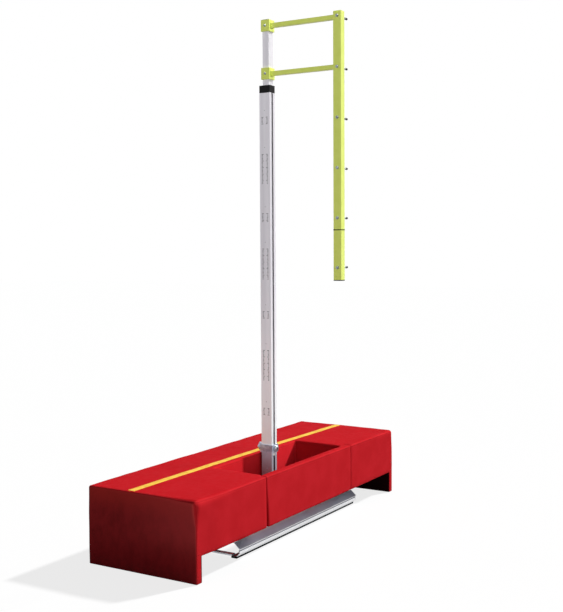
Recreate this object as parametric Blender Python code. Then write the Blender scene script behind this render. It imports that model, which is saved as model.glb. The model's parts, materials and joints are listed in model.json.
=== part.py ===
"""A pole vault standard with its base pad.

A slotted mast stands on a carriage that slides along a floor frame of two rails. A lighter
mast slides up inside it and carries, on two arms, the bar with the pegs for the crossbar.
A clamp on the slotted mast holds it at its height. A foam pad in a vinyl cover lies over
the frame, and its front flap closes the slot that the mast stands in.

Metres, +Z up. +X runs from the mast to the bar, +Y along the runway to the landing pit.
The origin is on the floor, under the middle of the whole.
"""
import math

import bmesh
import bpy
from mathutils import Matrix, Vector

# Clearances
TOUCH = 0.0003
SLIDE = 0.0005
PLUG_ROOM = 0.0008
HOLE_ROOM = 0.0004

# Floor frame: its middle is MAST_OFFSET behind the mast's axis
FRAME_WIDTH = 0.688
RAIL_HEIGHT = 0.100
RAIL_WALL = 0.004
RAIL_LIP = 0.020
RAIL_FLANGE = 0.045
RAIL_LEAN = 0.049
RAIL_FOOT_INSET = 0.029
RAIL_UPPER_RIDGE = 0.058
RAIL_LOWER_RIDGE = 0.032
GROOVE_DEPTH = 0.009
RAIL_END_ROOM = 0.15
RUNNER_THICKNESS = 0.010
RUNNER_WIDTH = 0.045
CROSSBAR_WIDTH = 0.040
TOP_CROSSBAR_THICKNESS = 0.006
FLOOR_CROSSBAR_THICKNESS = 0.010
FLOOR_CROSSBAR_INSET = 0.030

# Carriage
CARRIAGE_TRAVEL = 0.40
PLATE_LENGTH = 0.65
PLATE_THICKNESS = 0.006
PLATE_DROP = 0.0015
PLATE_UNDER_LIP = 0.013
PLATE_NOTCH = 0.020
MAST_OFFSET = 0.0645
GLIDE_WIDTH = 0.027
GLIDE_INSET = 0.010
GLIDE_STUD_RADIUS = 0.005
GLIDE_STUDS = 3
STOP_LENGTH = 0.030
STOP_HEIGHT = 0.040
CLIP_LENGTH = 0.060
CLIP_THICKNESS = 0.006
CLIP_WIDTH = 0.036
CLIP_OVER_LIP = 0.013
CLIP_BOLT_RADIUS = 0.004

# Mast foot
FOOT_PLATE_THICKNESS = 0.010
FOOT_PLATE_DEPTH = 0.200
FOOT_PLATE_INNER_REACH = 0.095
FOOT_BOLT_RADIUS = 0.006
FOOT_BOLT_INSET = 0.020
WELD = 0.001
GUSSET_HEIGHT = 0.107
GUSSET_REACH = 0.076
GUSSET_THICKNESS = 0.006
GUSSET_SPREAD = 0.050

# Outer mast
MAST_WIDTH = 0.092
MAST_DEPTH = 0.0762
MAST_WALL = 0.004
MAST_SLOT = 0.022
CHAMBER_WIDTH = 0.063
PIN_HOLE_RADIUS = 0.005
PIN_HOLE_HEIGHTS = (0.045, 0.305)
BUSHING_HEIGHT = 0.056
BUSHING_SPIGOT = 0.040

# Inner mast and its head
INNER_WIDTH = 0.055
INNER_DEPTH = 0.060
INNER_WALL = 0.003
INNER_SLOT_ROOM = 0.006
INNER_BELOW_CLAMP = 0.045
FOOT_BLOCK_FLANGE = 0.012
FOOT_BLOCK_SPIGOT = 0.090
PLUG_THICKNESS = 0.003
PLUG_SPIGOT = 0.020
HEAD_GAP = 0.044
COLLAR_HEIGHT = 0.087
COLLAR_WALL = 0.009
COLLAR_BOLT_RADIUS = 0.005
ARM_SIZE = 0.034
ARM_WALL = 0.003
ARM_BELOW_BAR_TOP = 0.0415
ARM_SPACING = 0.359
BAR_REACH = 0.618
BAR_WIDTH = 0.0643
BAR_DEPTH = 0.0554
BAR_WALL = 0.003
BAR_BELOW_FIRST_PEG = 0.097
BAR_ABOVE_LAST_PEG = 0.036
JOINT_ABOVE_FIRST_PEG = 0.278
JOINT_SPIGOT = 0.070
JOINT_SCREW_RADIUS = 0.003
CAP_THICKNESS = 0.006
CAP_SPIGOT = 0.018

# Crossbar pegs
FIRST_PEG_HEIGHT = 1.982
PEG_PITCH = 0.366
PEG_COUNT = 6
PEG_RADIUS = 0.0065
PEG_HEAD = 1.55
PEG_REACH = 0.100
PEG_TIP_LENGTH = 0.024
PEG_TIP_RADIUS = 0.0085
PEG_FLANGE_RADIUS = 0.0125
PEG_FLANGE_THICKNESS = 0.004

# Clamp
CLAMP_HEIGHT = 0.062
CLAMP_WALL = 0.008
CLAMP_ABOVE_PAD = 0.005
CLAMP_BOSS_THICKNESS = 0.012
CLAMP_BOSS_SIZE = 0.028
KNOB_ABOVE_MIDDLE = 0.008
KNOB_RADIUS = 0.033
KNOB_THICKNESS = 0.018
KNOB_NECK_RADIUS = 0.012
KNOB_NECK = 0.006
KNOB_STUD_RADIUS = 0.005
SLOT_BOLT_RADIUS = 0.008
SLOT_BOLT_HEAD_RADIUS = 0.026
SLOT_BOLT_HEAD_THICKNESS = 0.017
SLOT_WASHER_RADIUS = 0.030
SLOT_WASHER_THICKNESS = 0.003

# Base pad
PAD_HEIGHT = 0.540
PAD_PANEL = 0.060
PAD_END_ROOM = 0.51
PAD_OUTER_ROOM = 0.092
PAD_INNER_OVERHANG = 0.075
PAD_BACK = 0.0225
PAD_HOLLOW_HEIGHT = 0.175
PAD_CROWN = 0.006
PAD_SIDE_SWELL = 0.004
PAD_EDGE_ROUND = 0.010
SLOT_ROOM_BESIDE_MAST = 0.014
SLOT_ROOM_FRONT = 0.247
SLOT_ROOM_REAR = 0.067
FLAP_THICKNESS = 0.059
FLAP_FRONT_LAP = 0.015
FLAP_REAR_LAP = 0.064
FLAP_FRONT_GAP = 0.012
FLAP_REAR_GAP = 0.0005
STRIPE_WIDTH = 0.066
STRIPE_THICKNESS = 0.002
STRIPE_FROM_SLOT = 0.031
HOOK_STRIP_WIDTH = 0.012
HOOK_STRIP_HEIGHT = 0.300
HOOK_STRIP_THICKNESS = 0.002

# Heights and places that follow from them
RAIL_BOTTOM = RUNNER_THICKNESS + TOUCH
RAIL_TOP = RAIL_BOTTOM + RAIL_HEIGHT
RAIL_LENGTH = PLATE_LENGTH + 2 * CARRIAGE_TRAVEL + 2 * RAIL_END_ROOM
RAIL_WIDEST = FRAME_WIDTH / 2
RAIL_CORNER = RAIL_WIDEST - RAIL_LEAN
LIP_EDGE = RAIL_CORNER - RAIL_LIP
RAIL_FOOT = RAIL_WIDEST - RAIL_FOOT_INSET
FLANGE_EDGE = RAIL_FOOT - RAIL_FLANGE
FLANGE_TOP = RAIL_BOTTOM + RAIL_WALL
FRAME_Y = (-MAST_OFFSET - RAIL_LENGTH / 2, -MAST_OFFSET + RAIL_LENGTH / 2)

PLATE_TOP = RAIL_TOP - RAIL_WALL - PLATE_DROP
PLATE_BOTTOM = PLATE_TOP - PLATE_THICKNESS
PLATE_EDGE = LIP_EDGE + PLATE_UNDER_LIP
PLATE_Y = (-MAST_OFFSET - PLATE_LENGTH / 2, -MAST_OFFSET + PLATE_LENGTH / 2)
GLIDE_X = (FLANGE_EDGE + 0.003, FLANGE_EDGE + 0.003 + GLIDE_WIDTH)
GLIDE_Y = (PLATE_Y[0] + GLIDE_INSET, PLATE_Y[1] - GLIDE_INSET)
FOOT_PLATE_TOP = PLATE_TOP + TOUCH + FOOT_PLATE_THICKNESS
MAST_FOOT = FOOT_PLATE_TOP + TOUCH
MAST_X = MAST_WIDTH / 2
MAST_Y = MAST_DEPTH / 2
CHAMBER_X = (MAST_X - MAST_WALL - CHAMBER_WIDTH, MAST_X - MAST_WALL)

LAST_PEG_HEIGHT = FIRST_PEG_HEIGHT + (PEG_COUNT - 1) * PEG_PITCH
BAR_BOTTOM = FIRST_PEG_HEIGHT - BAR_BELOW_FIRST_PEG
BAR_TOP = LAST_PEG_HEIGHT + BAR_ABOVE_LAST_PEG
BAR_JOINT = FIRST_PEG_HEIGHT + JOINT_ABOVE_FIRST_PEG
UPPER_ARM_HEIGHT = BAR_TOP - ARM_BELOW_BAR_TOP
LOWER_ARM_HEIGHT = UPPER_ARM_HEIGHT - ARM_SPACING
MAST_TOP = LOWER_ARM_HEIGHT - COLLAR_HEIGHT / 2 - HEAD_GAP - BUSHING_HEIGHT

PAD_X = (-RAIL_WIDEST - PAD_OUTER_ROOM - PAD_PANEL, RAIL_WIDEST + PAD_INNER_OVERHANG)
PAD_MIDDLE_Y = -MAST_OFFSET - PAD_BACK
PAD_LENGTH = RAIL_LENGTH + 2 * (PAD_END_ROOM + PAD_PANEL)
PAD_Y = (PAD_MIDDLE_Y - PAD_LENGTH / 2, PAD_MIDDLE_Y + PAD_LENGTH / 2)
SLOT_X = (-MAST_X - SLOT_ROOM_BESIDE_MAST, PAD_X[1] - FLAP_THICKNESS)
SLOT_Y = (-CARRIAGE_TRAVEL - MAST_Y - SLOT_ROOM_FRONT, CARRIAGE_TRAVEL + MAST_Y + SLOT_ROOM_REAR)
FLAP_Y = (SLOT_Y[0] - FLAP_FRONT_LAP, SLOT_Y[1] + FLAP_REAR_LAP)

CLAMP_BOTTOM = PAD_HEIGHT + CLAMP_ABOVE_PAD
CLAMP_TOP = CLAMP_BOTTOM + CLAMP_HEIGHT
CLAMP_MIDDLE = (CLAMP_BOTTOM + CLAMP_TOP) / 2
KNOB_HEIGHT = CLAMP_MIDDLE + KNOB_ABOVE_MIDDLE
CLAMP_X = MAST_X + SLIDE + CLAMP_WALL
CLAMP_Y = MAST_Y + SLIDE + CLAMP_WALL
INNER_X = (CHAMBER_X[1] - INNER_SLOT_ROOM - INNER_WIDTH, CHAMBER_X[1] - INNER_SLOT_ROOM)
INNER_MIDDLE = sum(INNER_X) / 2
INNER_Y = INNER_DEPTH / 2
INNER_BOTTOM = CLAMP_MIDDLE - INNER_BELOW_CLAMP
INNER_TOP = UPPER_ARM_HEIGHT + COLLAR_HEIGHT / 2
COLLAR_X = (INNER_X[0] - TOUCH - COLLAR_WALL, INNER_X[1] + TOUCH + COLLAR_WALL)
COLLAR_Y = INNER_Y + TOUCH + COLLAR_WALL
BAR_X = (BAR_REACH - BAR_WIDTH / 2, BAR_REACH + BAR_WIDTH / 2)
BAR_Y = BAR_DEPTH / 2

# The mast's axis is here when the middle of the whole lies over the origin
MAST_PLACE = Vector((-(PAD_X[0] - PAD_SIDE_SWELL + BAR_X[1]) / 2, -PAD_MIDDLE_Y, 0))

X_AXIS = Vector((1, 0, 0))
Y_AXIS = Vector((0, 1, 0))
Z_AXIS = Vector((0, 0, 1))
SMOOTH_ANGLE = math.radians(35)


def clear_scene():
    """Remove whatever the file holds."""
    for obj in list(bpy.data.objects):
        bpy.data.objects.remove(obj, do_unlink=True)


def linear(channel):
    """A screen colour channel, 0 to 255, as the linear value that a shader takes."""
    value = channel / 255
    return value / 12.92 if value <= 0.04045 else ((value + 0.055) / 1.055) ** 2.4


def material(name, colour, roughness, metallic=0.0):
    """A plain finish from a screen colour."""
    made = bpy.data.materials.new(name)
    made.use_nodes = True
    shader = made.node_tree.nodes["Principled BSDF"]
    shader.inputs["Base Color"].default_value = (*[linear(c) for c in colour], 1.0)
    shader.inputs["Roughness"].default_value = roughness
    shader.inputs["Metallic"].default_value = metallic
    made.diffuse_color = shader.inputs["Base Color"].default_value
    return made


def make_object(name, shape, finish, carrier, bevel=0.0, segments=1):
    """Turn a finished bmesh into a named object that hangs on its carrier."""
    bmesh.ops.recalc_face_normals(shape, faces=shape.faces)
    mesh = bpy.data.meshes.new(name)
    shape.to_mesh(mesh)
    shape.free()
    mesh.shade_smooth()
    mesh.set_sharp_from_angle(angle=SMOOTH_ANGLE)
    mesh.materials.append(finish)
    obj = bpy.data.objects.new(name, mesh)
    bpy.context.collection.objects.link(obj)
    obj.parent = carrier
    obj.location = -carrier_place(carrier)
    if bevel > 0:
        rounding = obj.modifiers.new("rounding", "BEVEL")
        rounding.width = bevel
        rounding.segments = segments
        rounding.limit_method = "ANGLE"
        rounding.angle_limit = math.radians(50)
    return obj


def carrier_place(carrier):
    """Where a carrier's axis lies, from the mast's foot."""
    place = Vector(carrier.location)
    above = carrier.parent
    while above is not None and above.parent is not None:
        place += above.location
        above = above.parent
    return place if carrier.parent is not None else Vector((0, 0, 0))


def carrier_empty(name, place, parent):
    """An empty on a joint's axis, which carries the pieces that move with it."""
    empty = bpy.data.objects.new(name, None)
    bpy.context.collection.objects.link(empty)
    empty.parent = parent
    empty.location = Vector(place) - (carrier_place(parent) if parent else Vector((0, 0, 0)))
    return empty


def combine(obj, shape, operation):
    """Combine an object with a closed bmesh by a Boolean."""
    bmesh.ops.recalc_face_normals(shape, faces=shape.faces)
    name = f"{obj.name}_{operation.lower()}"
    mesh = bpy.data.meshes.new(name)
    shape.to_mesh(mesh)
    shape.free()
    other = bpy.data.objects.new(name, mesh)
    bpy.context.collection.objects.link(other)
    other.parent = obj.parent
    other.location = obj.location
    other.hide_render = True
    other.display_type = "WIRE"
    boolean = obj.modifiers.new(operation.lower(), "BOOLEAN")
    boolean.operation = operation
    boolean.solver = "EXACT"
    boolean.object = other


def cut(obj, shape):
    """Cut a closed bmesh out of an object."""
    combine(obj, shape, "DIFFERENCE")


def weld(obj, shape):
    """Join a closed bmesh to an object."""
    combine(obj, shape, "UNION")


def add_box(shape, x, y, z):
    """Add a box between two corners given as ranges."""
    made = bmesh.ops.create_cube(shape, size=1.0)
    size = Matrix.Diagonal((x[1] - x[0], y[1] - y[0], z[1] - z[0], 1))
    middle = Matrix.Translation((sum(x) / 2, sum(y) / 2, sum(z) / 2))
    bmesh.ops.transform(shape, matrix=middle @ size, verts=made["verts"])


def box(x, y, z):
    """A bmesh that holds one box."""
    shape = bmesh.new()
    add_box(shape, x, y, z)
    return shape


def both(half):
    """The range from minus half to plus half."""
    return (-half, half)


def inset(span, room):
    """A range drawn in by the same room at both ends."""
    return (span[0] + room, span[1] - room)


def add_prism(shape, outline, along, start, end):
    """Extrude an outline. It is in X and Z along Y, or in X and Y along Z."""
    places = {"y": lambda a, b, c: (a, c, b), "z": lambda a, b, c: (a, b, c)}
    place = places[along]
    first = [shape.verts.new(place(a, b, start)) for a, b in outline]
    last = [shape.verts.new(place(a, b, end)) for a, b in outline]
    shape.faces.new(first)
    shape.faces.new(list(reversed(last)))
    for i in range(len(outline)):
        j = (i + 1) % len(outline)
        shape.faces.new((first[i], last[i], last[j], first[j]))


def strip_outline(path, thickness):
    """The closed outline of a bent strip: an open path and its offset to the left."""
    points = [Vector(p) for p in path]
    inner = []
    for i, point in enumerate(points):
        before = (point - points[i - 1]).normalized() if i > 0 else None
        after = (points[i + 1] - point).normalized() if i < len(points) - 1 else None
        before = before or after
        after = after or before
        left = Vector((-before.y - after.y, before.x + after.x)).normalized()
        inner.append(point + left * thickness / left.dot(Vector((-before.y, before.x))))
    return [tuple(p) for p in points] + [tuple(p) for p in reversed(inner)]


def even(angle):
    """A round section."""
    return 1.0


def hexagon(angle):
    """A hexagonal section, with its radius to the corners."""
    return math.cos(math.pi / 6) / math.cos(angle % (math.pi / 3) - math.pi / 6)


def four_lobes(angle):
    """The section of a knob with four rounded lobes."""
    return 0.84 + 0.16 * math.cos(4 * angle)


def add_turned(shape, foot, axis, rings, sides=12):
    """Add a closed body of rings along an axis: each ring is how far along, radius, section."""
    axis = Vector(axis).normalized()
    across = Z_AXIS.cross(axis) if abs(axis.z) < 0.9 else X_AXIS
    across = across.normalized()
    beside = axis.cross(across)
    loops = []
    for along, radius, section in rings:
        loop = []
        for k in range(sides):
            angle = 2 * math.pi * k / sides
            reach = radius * section(angle)
            spoke = across * math.cos(angle) + beside * math.sin(angle)
            loop.append(shape.verts.new(Vector(foot) + axis * along + spoke * reach))
        loops.append(loop)
    shape.faces.new(list(reversed(loops[0])))
    shape.faces.new(loops[-1])
    for lower, upper in zip(loops, loops[1:]):
        for k in range(sides):
            n = (k + 1) % sides
            shape.faces.new((lower[k], lower[n], upper[n], upper[k]))


def add_rod(shape, foot, axis, radius, length, sides=12):
    """Add a plain round rod."""
    add_turned(shape, foot, axis, [(0, radius, even), (length, radius, even)], sides)


def rod(foot, axis, radius, length, sides=12):
    """A bmesh that holds one round rod."""
    shape = bmesh.new()
    add_rod(shape, foot, axis, radius, length, sides)
    return shape


def bolt_rings(radius, grip, head=1.7, washer=0.0):
    """The rings of a hexagon bolt along its axis, from the shank's end to the head's top.

    The shank ends grip below the seat. The head is head times the radius across its corners,
    and washer is the washer's radius.
    """
    washer_thickness = 0.002 if washer > 0 else 0.0
    rings = [(-grip, radius, even), (0, radius, even)]
    if washer > 0:
        rings += [(0, washer, even), (washer_thickness, washer, even)]
    top = washer_thickness + 1.2 * radius
    return rings + [(washer_thickness, head * radius, hexagon), (top, head * radius, hexagon)]


def hex_bolt(seat, axis, radius, grip, head=1.7, washer=0.0):
    """A bmesh of a bolt whose head stands on its seat, with its shank the other way."""
    shape = bmesh.new()
    add_turned(shape, seat, axis, bolt_rings(radius, grip, head, washer))
    return shape


def grid_body(xs, ys, zs, holds):
    """A closed bmesh of the cells of a grid for which holds(x, y, z) is true at their middle."""
    shape = bmesh.new()
    made = {}

    def vertex(i, j, k):
        if (i, j, k) not in made:
            made[i, j, k] = shape.verts.new((xs[i], ys[j], zs[k]))
        return made[i, j, k]

    def middle(values, index):
        return (values[index] + values[index + 1]) / 2

    counts = (len(xs) - 1, len(ys) - 1, len(zs) - 1)

    def solid(i, j, k):
        inside = 0 <= i < counts[0] and 0 <= j < counts[1] and 0 <= k < counts[2]
        return inside and holds(middle(xs, i), middle(ys, j), middle(zs, k))

    for i in range(counts[0]):
        for j in range(counts[1]):
            for k in range(counts[2]):
                if not solid(i, j, k):
                    continue
                for axis in range(3):
                    for side in (0, 1):
                        step = [0, 0, 0]
                        step[axis] = 2 * side - 1
                        if solid(i + step[0], j + step[1], k + step[2]):
                            continue
                        shape.faces.new(cell_side(vertex, (i, j, k), axis, side))
    return shape


def cell_side(vertex, cell, axis, side):
    """The four vertices of one side of a grid cell."""
    u, v = [a for a in range(3) if a != axis]
    corners = []
    for du, dv in ((0, 0), (1, 0), (1, 1), (0, 1)):
        index = list(cell)
        index[axis] += side
        index[u] += du
        index[v] += dv
        corners.append(vertex(*index))
    return corners


def grid_lines(start, end, spacing, keep=()):
    """Places from start to end about evenly spaced, with every place in keep among them."""
    fixed = sorted({start, end, *[k for k in keep if start < k < end]})
    lines = [fixed[0]]
    for a, b in zip(fixed, fixed[1:]):
        count = max(1, round((b - a) / spacing))
        lines += [a + (b - a) * n / count for n in range(1, count + 1)]
    return lines


def tube(x, y, z, wall):
    """A rectangular tube that stands along Z, open at both ends."""
    xs = (x[0], x[0] + wall, x[1] - wall, x[1])
    ys = (y[0], y[0] + wall, y[1] - wall, y[1])
    return grid_body(xs, ys, z, lambda a, b, c: not (xs[1] < a < xs[2] and ys[1] < b < ys[2]))


def build_finishes():
    """Every finish, by name."""
    return {
        "anodised": material("anodised aluminium", (192, 190, 197), 0.42, 0.75),
        "extrusion": material("mill aluminium", (208, 207, 208), 0.38, 0.8),
        "zinc": material("zinc plate", (176, 180, 180), 0.5, 0.6),
        "black_steel": material("black steel", (24, 24, 28), 0.45, 0.3),
        "bolt": material("bright zinc", (196, 198, 202), 0.3, 0.9),
        "cast": material("cast aluminium", (168, 170, 172), 0.45, 0.7),
        "yellow": material("fluorescent yellow paint", (222, 233, 110), 0.35),
        "black_plastic": material("black plastic", (26, 26, 28), 0.5),
        "nylon": material("white nylon", (226, 224, 216), 0.45),
        "rubber": material("black rubber", (30, 30, 31), 0.85),
        "vinyl": material("red vinyl", (200, 34, 41), 0.42),
        "stripe": material("yellow webbing", (250, 206, 72), 0.6),
        "hook": material("black hook tape", (22, 22, 22), 0.95),
    }


def rail_path(side):
    """The outside of a rail's section, in X and Z, from the lip's edge to the flange's edge."""
    points = [
        (LIP_EDGE, RAIL_TOP),
        (RAIL_CORNER, RAIL_TOP),
        (RAIL_WIDEST, RAIL_BOTTOM + RAIL_UPPER_RIDGE),
        (RAIL_WIDEST - GROOVE_DEPTH, RAIL_BOTTOM + (RAIL_UPPER_RIDGE + RAIL_LOWER_RIDGE) / 2),
        (RAIL_WIDEST, RAIL_BOTTOM + RAIL_LOWER_RIDGE),
        (RAIL_FOOT, RAIL_BOTTOM),
        (FLANGE_EDGE, RAIL_BOTTOM),
    ]
    return points if side > 0 else [(-x, z) for x, z in points]


def build_rails(finish, carrier):
    """Two aluminium C rails that open inwards, each on a rubber runner."""
    for name, side in (("inner", 1), ("outer", -1)):
        shape = bmesh.new()
        outline = strip_outline(rail_path(side), -side * RAIL_WALL)
        add_prism(shape, outline, "y", *FRAME_Y)
        make_object(f"rail_{name}", shape, finish["extrusion"], carrier)
        middle = side * (RAIL_FOOT + FLANGE_EDGE) / 2
        runner_x = (middle - RUNNER_WIDTH / 2, middle + RUNNER_WIDTH / 2)
        runner = box(runner_x, FRAME_Y, (0, RUNNER_THICKNESS))
        make_object(f"rail_runner_{name}", runner, finish["rubber"], carrier)


def build_crossbars(finish, carrier):
    """Flat bars over the rails' lips at both ends, and bars between their floor flanges."""
    front, rear = FRAME_Y
    top_z = (RAIL_TOP + TOUCH, RAIL_TOP + TOUCH + TOP_CROSSBAR_THICKNESS)
    top_y = {"front": (front, front + CROSSBAR_WIDTH), "rear": (rear - CROSSBAR_WIDTH, rear)}
    for name, y in top_y.items():
        bar = box(both(RAIL_CORNER), y, top_z)
        make_object(f"{name}_top_crossbar", bar, finish["extrusion"], carrier)

    floor_z = (RAIL_BOTTOM, RAIL_BOTTOM + FLOOR_CROSSBAR_THICKNESS)
    floor_x = both(FLANGE_EDGE - TOUCH)
    floor_middles = {
        "front": front + FLOOR_CROSSBAR_INSET,
        "middle": (front + rear) / 2,
        "rear": rear - FLOOR_CROSSBAR_INSET,
    }
    for name, y in floor_middles.items():
        bar = box(floor_x, (y - CROSSBAR_WIDTH / 2, y + CROSSBAR_WIDTH / 2), floor_z)
        make_object(f"{name}_floor_crossbar", bar, finish["extrusion"], carrier)


def build_stops(finish, carrier):
    """Blocks in the inner rail's channel that the glide strip meets at the ends of its travel."""
    front = GLIDE_Y[0] - CARRIAGE_TRAVEL - 2 * SLIDE
    rear = GLIDE_Y[1] + CARRIAGE_TRAVEL + 2 * SLIDE
    z = (FLANGE_TOP + TOUCH, FLANGE_TOP + TOUCH + STOP_HEIGHT)
    for name, y in (("front", (front - STOP_LENGTH, front)), ("rear", (rear, rear + STOP_LENGTH))):
        make_object(f"{name}_stop", box(GLIDE_X, y, z), finish["rubber"], carrier)


def stud_places():
    """Where the glide strips' studs stand along Y."""
    step = (GLIDE_Y[1] - GLIDE_Y[0]) / GLIDE_STUDS
    return [GLIDE_Y[0] + step * (n + 0.5) for n in range(GLIDE_STUDS)]


def build_carriage(finish, carrier):
    """The plate that slides under the rails' lips, on two nylon strips that snap into it."""
    side_notch = (-PLATE_EDGE, -PLATE_EDGE + PLATE_NOTCH, PLATE_EDGE - PLATE_NOTCH, PLATE_EDGE)
    end_notch = (PLATE_Y[0], PLATE_Y[0] + PLATE_NOTCH, PLATE_Y[1] - PLATE_NOTCH, PLATE_Y[1])

    def in_plate(x, y, z):
        in_x = side_notch[1] < x < side_notch[2]
        in_y = end_notch[1] < y < end_notch[2]
        return in_x or in_y

    shape = grid_body(side_notch, end_notch, (PLATE_BOTTOM, PLATE_TOP), in_plate)
    plate = make_object("carriage_plate", shape, finish["zinc"], carrier)
    holes = bmesh.new()
    stud_x = GLIDE_X[0] + 1.5 * GLIDE_STUD_RADIUS
    for name, side in (("inner", 1), ("outer", -1)):
        x = sorted((side * GLIDE_X[0], side * GLIDE_X[1]))
        shape = box(x, GLIDE_Y, (FLANGE_TOP + TOUCH, PLATE_BOTTOM - TOUCH))
        strip = make_object(f"glide_strip_{name}", shape, finish["nylon"], carrier)
        studs = bmesh.new()
        for y in stud_places():
            foot = Vector((side * stud_x, y, PLATE_BOTTOM - TOUCH - WELD))
            add_rod(studs, foot, Z_AXIS, GLIDE_STUD_RADIUS, WELD + PLATE_THICKNESS)
            add_rod(holes, foot, Z_AXIS, GLIDE_STUD_RADIUS + HOLE_ROOM, 0.02)
        weld(strip, studs)
    add_foot_bolt_holes(holes)
    add_clip_bolt_holes(holes)
    cut(plate, holes)
    build_clips(finish, carrier)


def clip_bolt_x():
    """How far from the frame's middle a rail clip's bolt stands."""
    return LIP_EDGE - TOUCH - (CLIP_WIDTH - CLIP_OVER_LIP) / 2


def add_clip_bolt_holes(shape):
    """Add holes for the two clips' bolts."""
    for side in (-1, 1):
        foot = (side * clip_bolt_x(), -MAST_OFFSET, PLATE_BOTTOM - 0.01)
        add_rod(shape, foot, Z_AXIS, CLIP_BOLT_RADIUS + HOLE_ROOM, 0.04)


def build_clips(finish, carrier):
    """Clips bolted to the plate that grip the rails' lips, and so lock the carriage."""
    over = RAIL_TOP + TOUCH
    outer = LIP_EDGE + CLIP_OVER_LIP
    riser = LIP_EDGE - TOUCH
    inner = outer - CLIP_WIDTH
    section = [(inner, PLATE_TOP + TOUCH), (riser, PLATE_TOP + TOUCH), (riser, over), (outer, over),
               (outer, over + CLIP_THICKNESS), (inner, over + CLIP_THICKNESS)]
    for name, side in (("inner", 1), ("outer", -1)):
        outline = [(side * x, z) for x, z in section]
        shape = bmesh.new()
        add_prism(shape, outline, "y", -MAST_OFFSET - CLIP_LENGTH / 2, -MAST_OFFSET + CLIP_LENGTH / 2)
        clip = make_object(f"rail_clip_{name}", shape, finish["bolt"], carrier)
        holes = bmesh.new()
        add_clip_bolt_holes(holes)
        cut(clip, holes)
        seat = Vector((side * clip_bolt_x(), -MAST_OFFSET, over + CLIP_THICKNESS + TOUCH))
        shape = hex_bolt(seat, Z_AXIS, CLIP_BOLT_RADIUS, seat.z - PLATE_BOTTOM)
        make_object(f"rail_clip_bolt_{name}", shape, finish["bolt"], carrier)


def foot_plate_x():
    """The foot plate is flush with the mast's outer side and reaches in under the arms."""
    return (-MAST_X, MAST_X + FOOT_PLATE_INNER_REACH)


def foot_bolt_places():
    """The foot bolts stand near the foot plate's corners."""
    x = foot_plate_x()
    y = FOOT_PLATE_DEPTH / 2 - FOOT_BOLT_INSET
    return [(a, b) for a in (x[0] + FOOT_BOLT_INSET, x[1] - FOOT_BOLT_INSET) for b in (-y, y)]


def add_foot_bolt_holes(shape):
    """Add holes for the foot bolts."""
    for x, y in foot_bolt_places():
        foot = (x, y, PLATE_BOTTOM - 0.01)
        add_rod(shape, foot, Z_AXIS, FOOT_BOLT_RADIUS + HOLE_ROOM, 0.04)


def build_mast_foot(finish, carrier):
    """The black foot plate with the two gussets welded to it, and its bolts."""
    shape = box(foot_plate_x(), both(FOOT_PLATE_DEPTH / 2), (PLATE_TOP + TOUCH, FOOT_PLATE_TOP))
    plate = make_object("mast_foot", shape, finish["black_steel"], carrier)
    gussets = bmesh.new()
    start = MAST_X + TOUCH
    foot = FOOT_PLATE_TOP - WELD
    outline = [(start, foot), (start + GUSSET_REACH, foot), (start + GUSSET_REACH, MAST_FOOT + 0.008),
               (start + 0.008, MAST_FOOT + GUSSET_HEIGHT), (start, MAST_FOOT + GUSSET_HEIGHT)]
    for side in (-1, 1):
        middle = side * GUSSET_SPREAD / 2
        add_prism(gussets, outline, "y", middle - GUSSET_THICKNESS / 2, middle + GUSSET_THICKNESS / 2)
    weld(plate, gussets)
    holes = bmesh.new()
    add_foot_bolt_holes(holes)
    cut(plate, holes)

    for number, (x, y) in enumerate(foot_bolt_places(), start=1):
        seat = Vector((x, y, FOOT_PLATE_TOP + TOUCH))
        shape = hex_bolt(seat, Z_AXIS, FOOT_BOLT_RADIUS, seat.z - PLATE_BOTTOM, washer=0.013)
        make_object(f"foot_bolt_{number}", shape, finish["bolt"], carrier)


def build_outer_mast(finish, carrier):
    """The slotted mast: a closed chamber, a web, and the chamber that the inner mast rides in."""
    slot = MAST_SLOT / 2
    xs = (-MAST_X, -MAST_X + MAST_WALL, CHAMBER_X[0] - MAST_WALL, *CHAMBER_X, MAST_X)
    ys = (-MAST_Y, -MAST_Y + MAST_WALL, -slot, slot, MAST_Y - MAST_WALL, MAST_Y)

    def in_section(x, y, z):
        in_depth = ys[1] < y < ys[4]
        in_chambers = in_depth and (xs[1] < x < xs[2] or xs[3] < x < xs[4])
        in_slot = ys[2] < y < ys[3] and x > xs[4]
        return not in_chambers and not in_slot

    shape = grid_body(xs, ys, (MAST_FOOT, MAST_TOP), in_section)
    mast = make_object("outer_mast", shape, finish["anodised"], carrier, bevel=0.0012)
    holes = bmesh.new()
    for height in PIN_HOLE_HEIGHTS:
        foot = (INNER_MIDDLE, -MAST_Y - 0.01, MAST_FOOT + height)
        add_rod(holes, foot, Y_AXIS, PIN_HOLE_RADIUS, 0.01 + MAST_WALL + 0.004, 10)
    cut(mast, holes)

    spigot_x = (xs[1] + SLIDE, xs[2] - SLIDE)
    spigot_y = (ys[1] + SLIDE, ys[4] - SLIDE)
    bore_x = (INNER_X[0] - SLIDE, INNER_X[1] + SLIDE)
    bore_y = both(INNER_Y + SLIDE)
    lines_x = (xs[0], *spigot_x, *bore_x, xs[5])
    lines_y = (ys[0], spigot_y[0], *bore_y, spigot_y[1], ys[5])
    foot = MAST_TOP + TOUCH
    lines_z = (foot - BUSHING_SPIGOT, foot, MAST_TOP + BUSHING_HEIGHT)

    def in_bushing(x, y, z):
        in_bore = bore_x[0] < x < bore_x[1] and bore_y[0] < y < bore_y[1]
        in_spigot = spigot_x[0] < x < spigot_x[1] and spigot_y[0] < y < spigot_y[1]
        return in_spigot if z < foot else not in_bore

    shape = grid_body(lines_x, lines_y, lines_z, in_bushing)
    make_object("mast_bushing", shape, finish["black_plastic"], carrier, bevel=0.001)


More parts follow.
